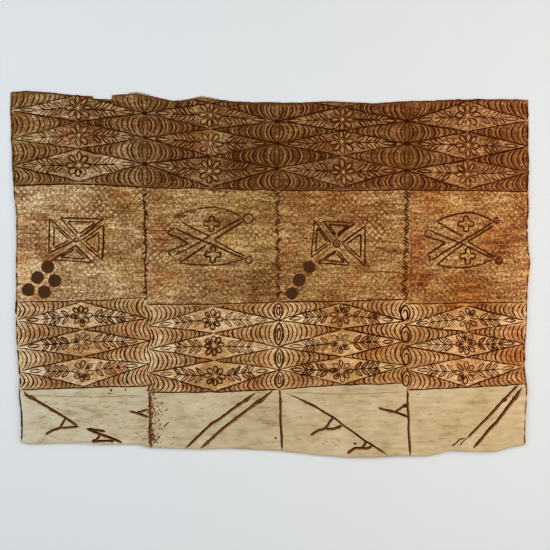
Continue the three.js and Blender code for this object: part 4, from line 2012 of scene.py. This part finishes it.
def main() -> None:
    """Builds the cloth, its strokes of dye and the studio, and reports each piece."""
    logging.basicConfig(level=logging.INFO, format="%(message)s")
    cloth, layout = ClothShape(), Layout()
    sheet = ClothSheet(cloth, layout)
    piece = sheet.build(sheet_finishes())
    sheet.declare(piece)
    LOG.info("%s: %d faces", piece.name, len(piece.data.polygons))

    upper_fan = Fan(pitch=0.0225, pairing=0.20, ribs=(0.011, 0.027), bare_share=0.75,
                    heavy=Brush(0.0108, 1.05, 0.3), light=Brush(0.0078, 0.85, 0.3))
    lower_fan = Fan(pitch=0.0195, pairing=0.06, ribs=(0.021,), bare_share=0.20, bow=0.025,
                    heavy=Brush(0.0104, 0.90, 0.3), light=Brush(0.0084, 0.80, 0.3))
    lower_flowers = tuple(Flower(reach=0.046, petal_width=0.018, filled=filled)
                          for filled in (0.20, 0.08, 0.55, 0.30))
    bands = (
        LozengeBand(Band.UPPER_LOZENGES, upper_fan, knot=0.0085),
        LozengeBand(
            Band.LOWER_LOZENGES, lower_fan, knot=0.0045, outline=Brush(0.0094, 0.90, 0.06, 0.011),
            flowers=lower_flowers,
            spray=LeafSpray(first_leaf=0.050, leaf_gap=0.029, leaf_pairs=5, leaf_length=0.046,
                            leaf_width=0.011, end_leaf_start=0.100, end_leaf_length=0.055),
            joint_marks=(JointMark.NOTHING, JointMark.WAVE, JointMark.EYES, JointMark.SCROLLS,
                         JointMark.NOTHING)),
    )
    lozenge_lines, bare_lines = DyeLayer(cloth, seed=11), DyeLayer(cloth, seed=14)
    bare_lines.crown = 0.5 * lozenge_lines.crown
    for band in bands:
        band.draw_on(lozenge_lines, bare_lines, layout)
    BandRules().draw_on(lozenge_lines, layout)
    figure_lines, dots = DyeLayer(cloth, seed=12), DyeLayer(cloth, seed=15)
    FigureBand().draw_on(figure_lines, layout)
    StampedDots().draw_on(dots)
    strip_lines, faint_lines = DyeLayer(cloth, seed=13), DyeLayer(cloth, seed=16)
    PaleStrip().draw_on(strip_lines, layout)
    FaintMarks().draw_on(faint_lines)

    brown = DyeFinish(thin=linear(114, 70, 30), thick=linear(49, 16, 0), cast=linear(68, 24, 20))
    figure = DyeFinish(thin=linear(124, 80, 40), thick=linear(58, 26, 6), cast=linear(74, 34, 24))
    red_brown = DyeFinish(
        thin=linear(144, 90, 58), thick=linear(38, 15, 0), cast=linear(66, 30, 10),
        tints=((0.95, 1.00, 0.90), (0.96, 0.96, 0.85), (1.06, 0.92, 0.70)))
    stamp = DyeFinish(thin=linear(124, 82, 52), thick=linear(68, 44, 28),
                      cast=linear(50, 32, 24), grain=1.4)
    bare_bark = DyeFinish(thin=linear(140, 102, 60), thick=linear(202, 166, 114),
                          cast=linear(176, 132, 80))
    # This finish also colours the painted shade line along the strip's crease.
    faint = DyeFinish(thin=linear(186, 164, 126), thick=linear(104, 82, 54),
                      cast=linear(150, 124, 86))
    layers = (
        (bare_lines, "bare_lines", bare_bark.build("bare_relief_bark")),
        (lozenge_lines, "lozenge_lines", brown.build("brown_dye")),
        (figure_lines, "figure_lines", figure.build("figure_dye")),
        (dots, "stamped_dots", stamp.build("stamp_dye")),
        (strip_lines, "strip_strokes", red_brown.build("red_brown_dye")),
        (faint_lines, "faint_marks_and_crease_shade", faint.build("faint_stain_and_crease_shade")),
    )
    for layer, name, dye in layers:
        lines = layer.build(name, dye)
        LOG.info("%s: %d faces", lines.name, len(lines.data.polygons))

    Studio().build()


if __name__ == "__main__":
    main()
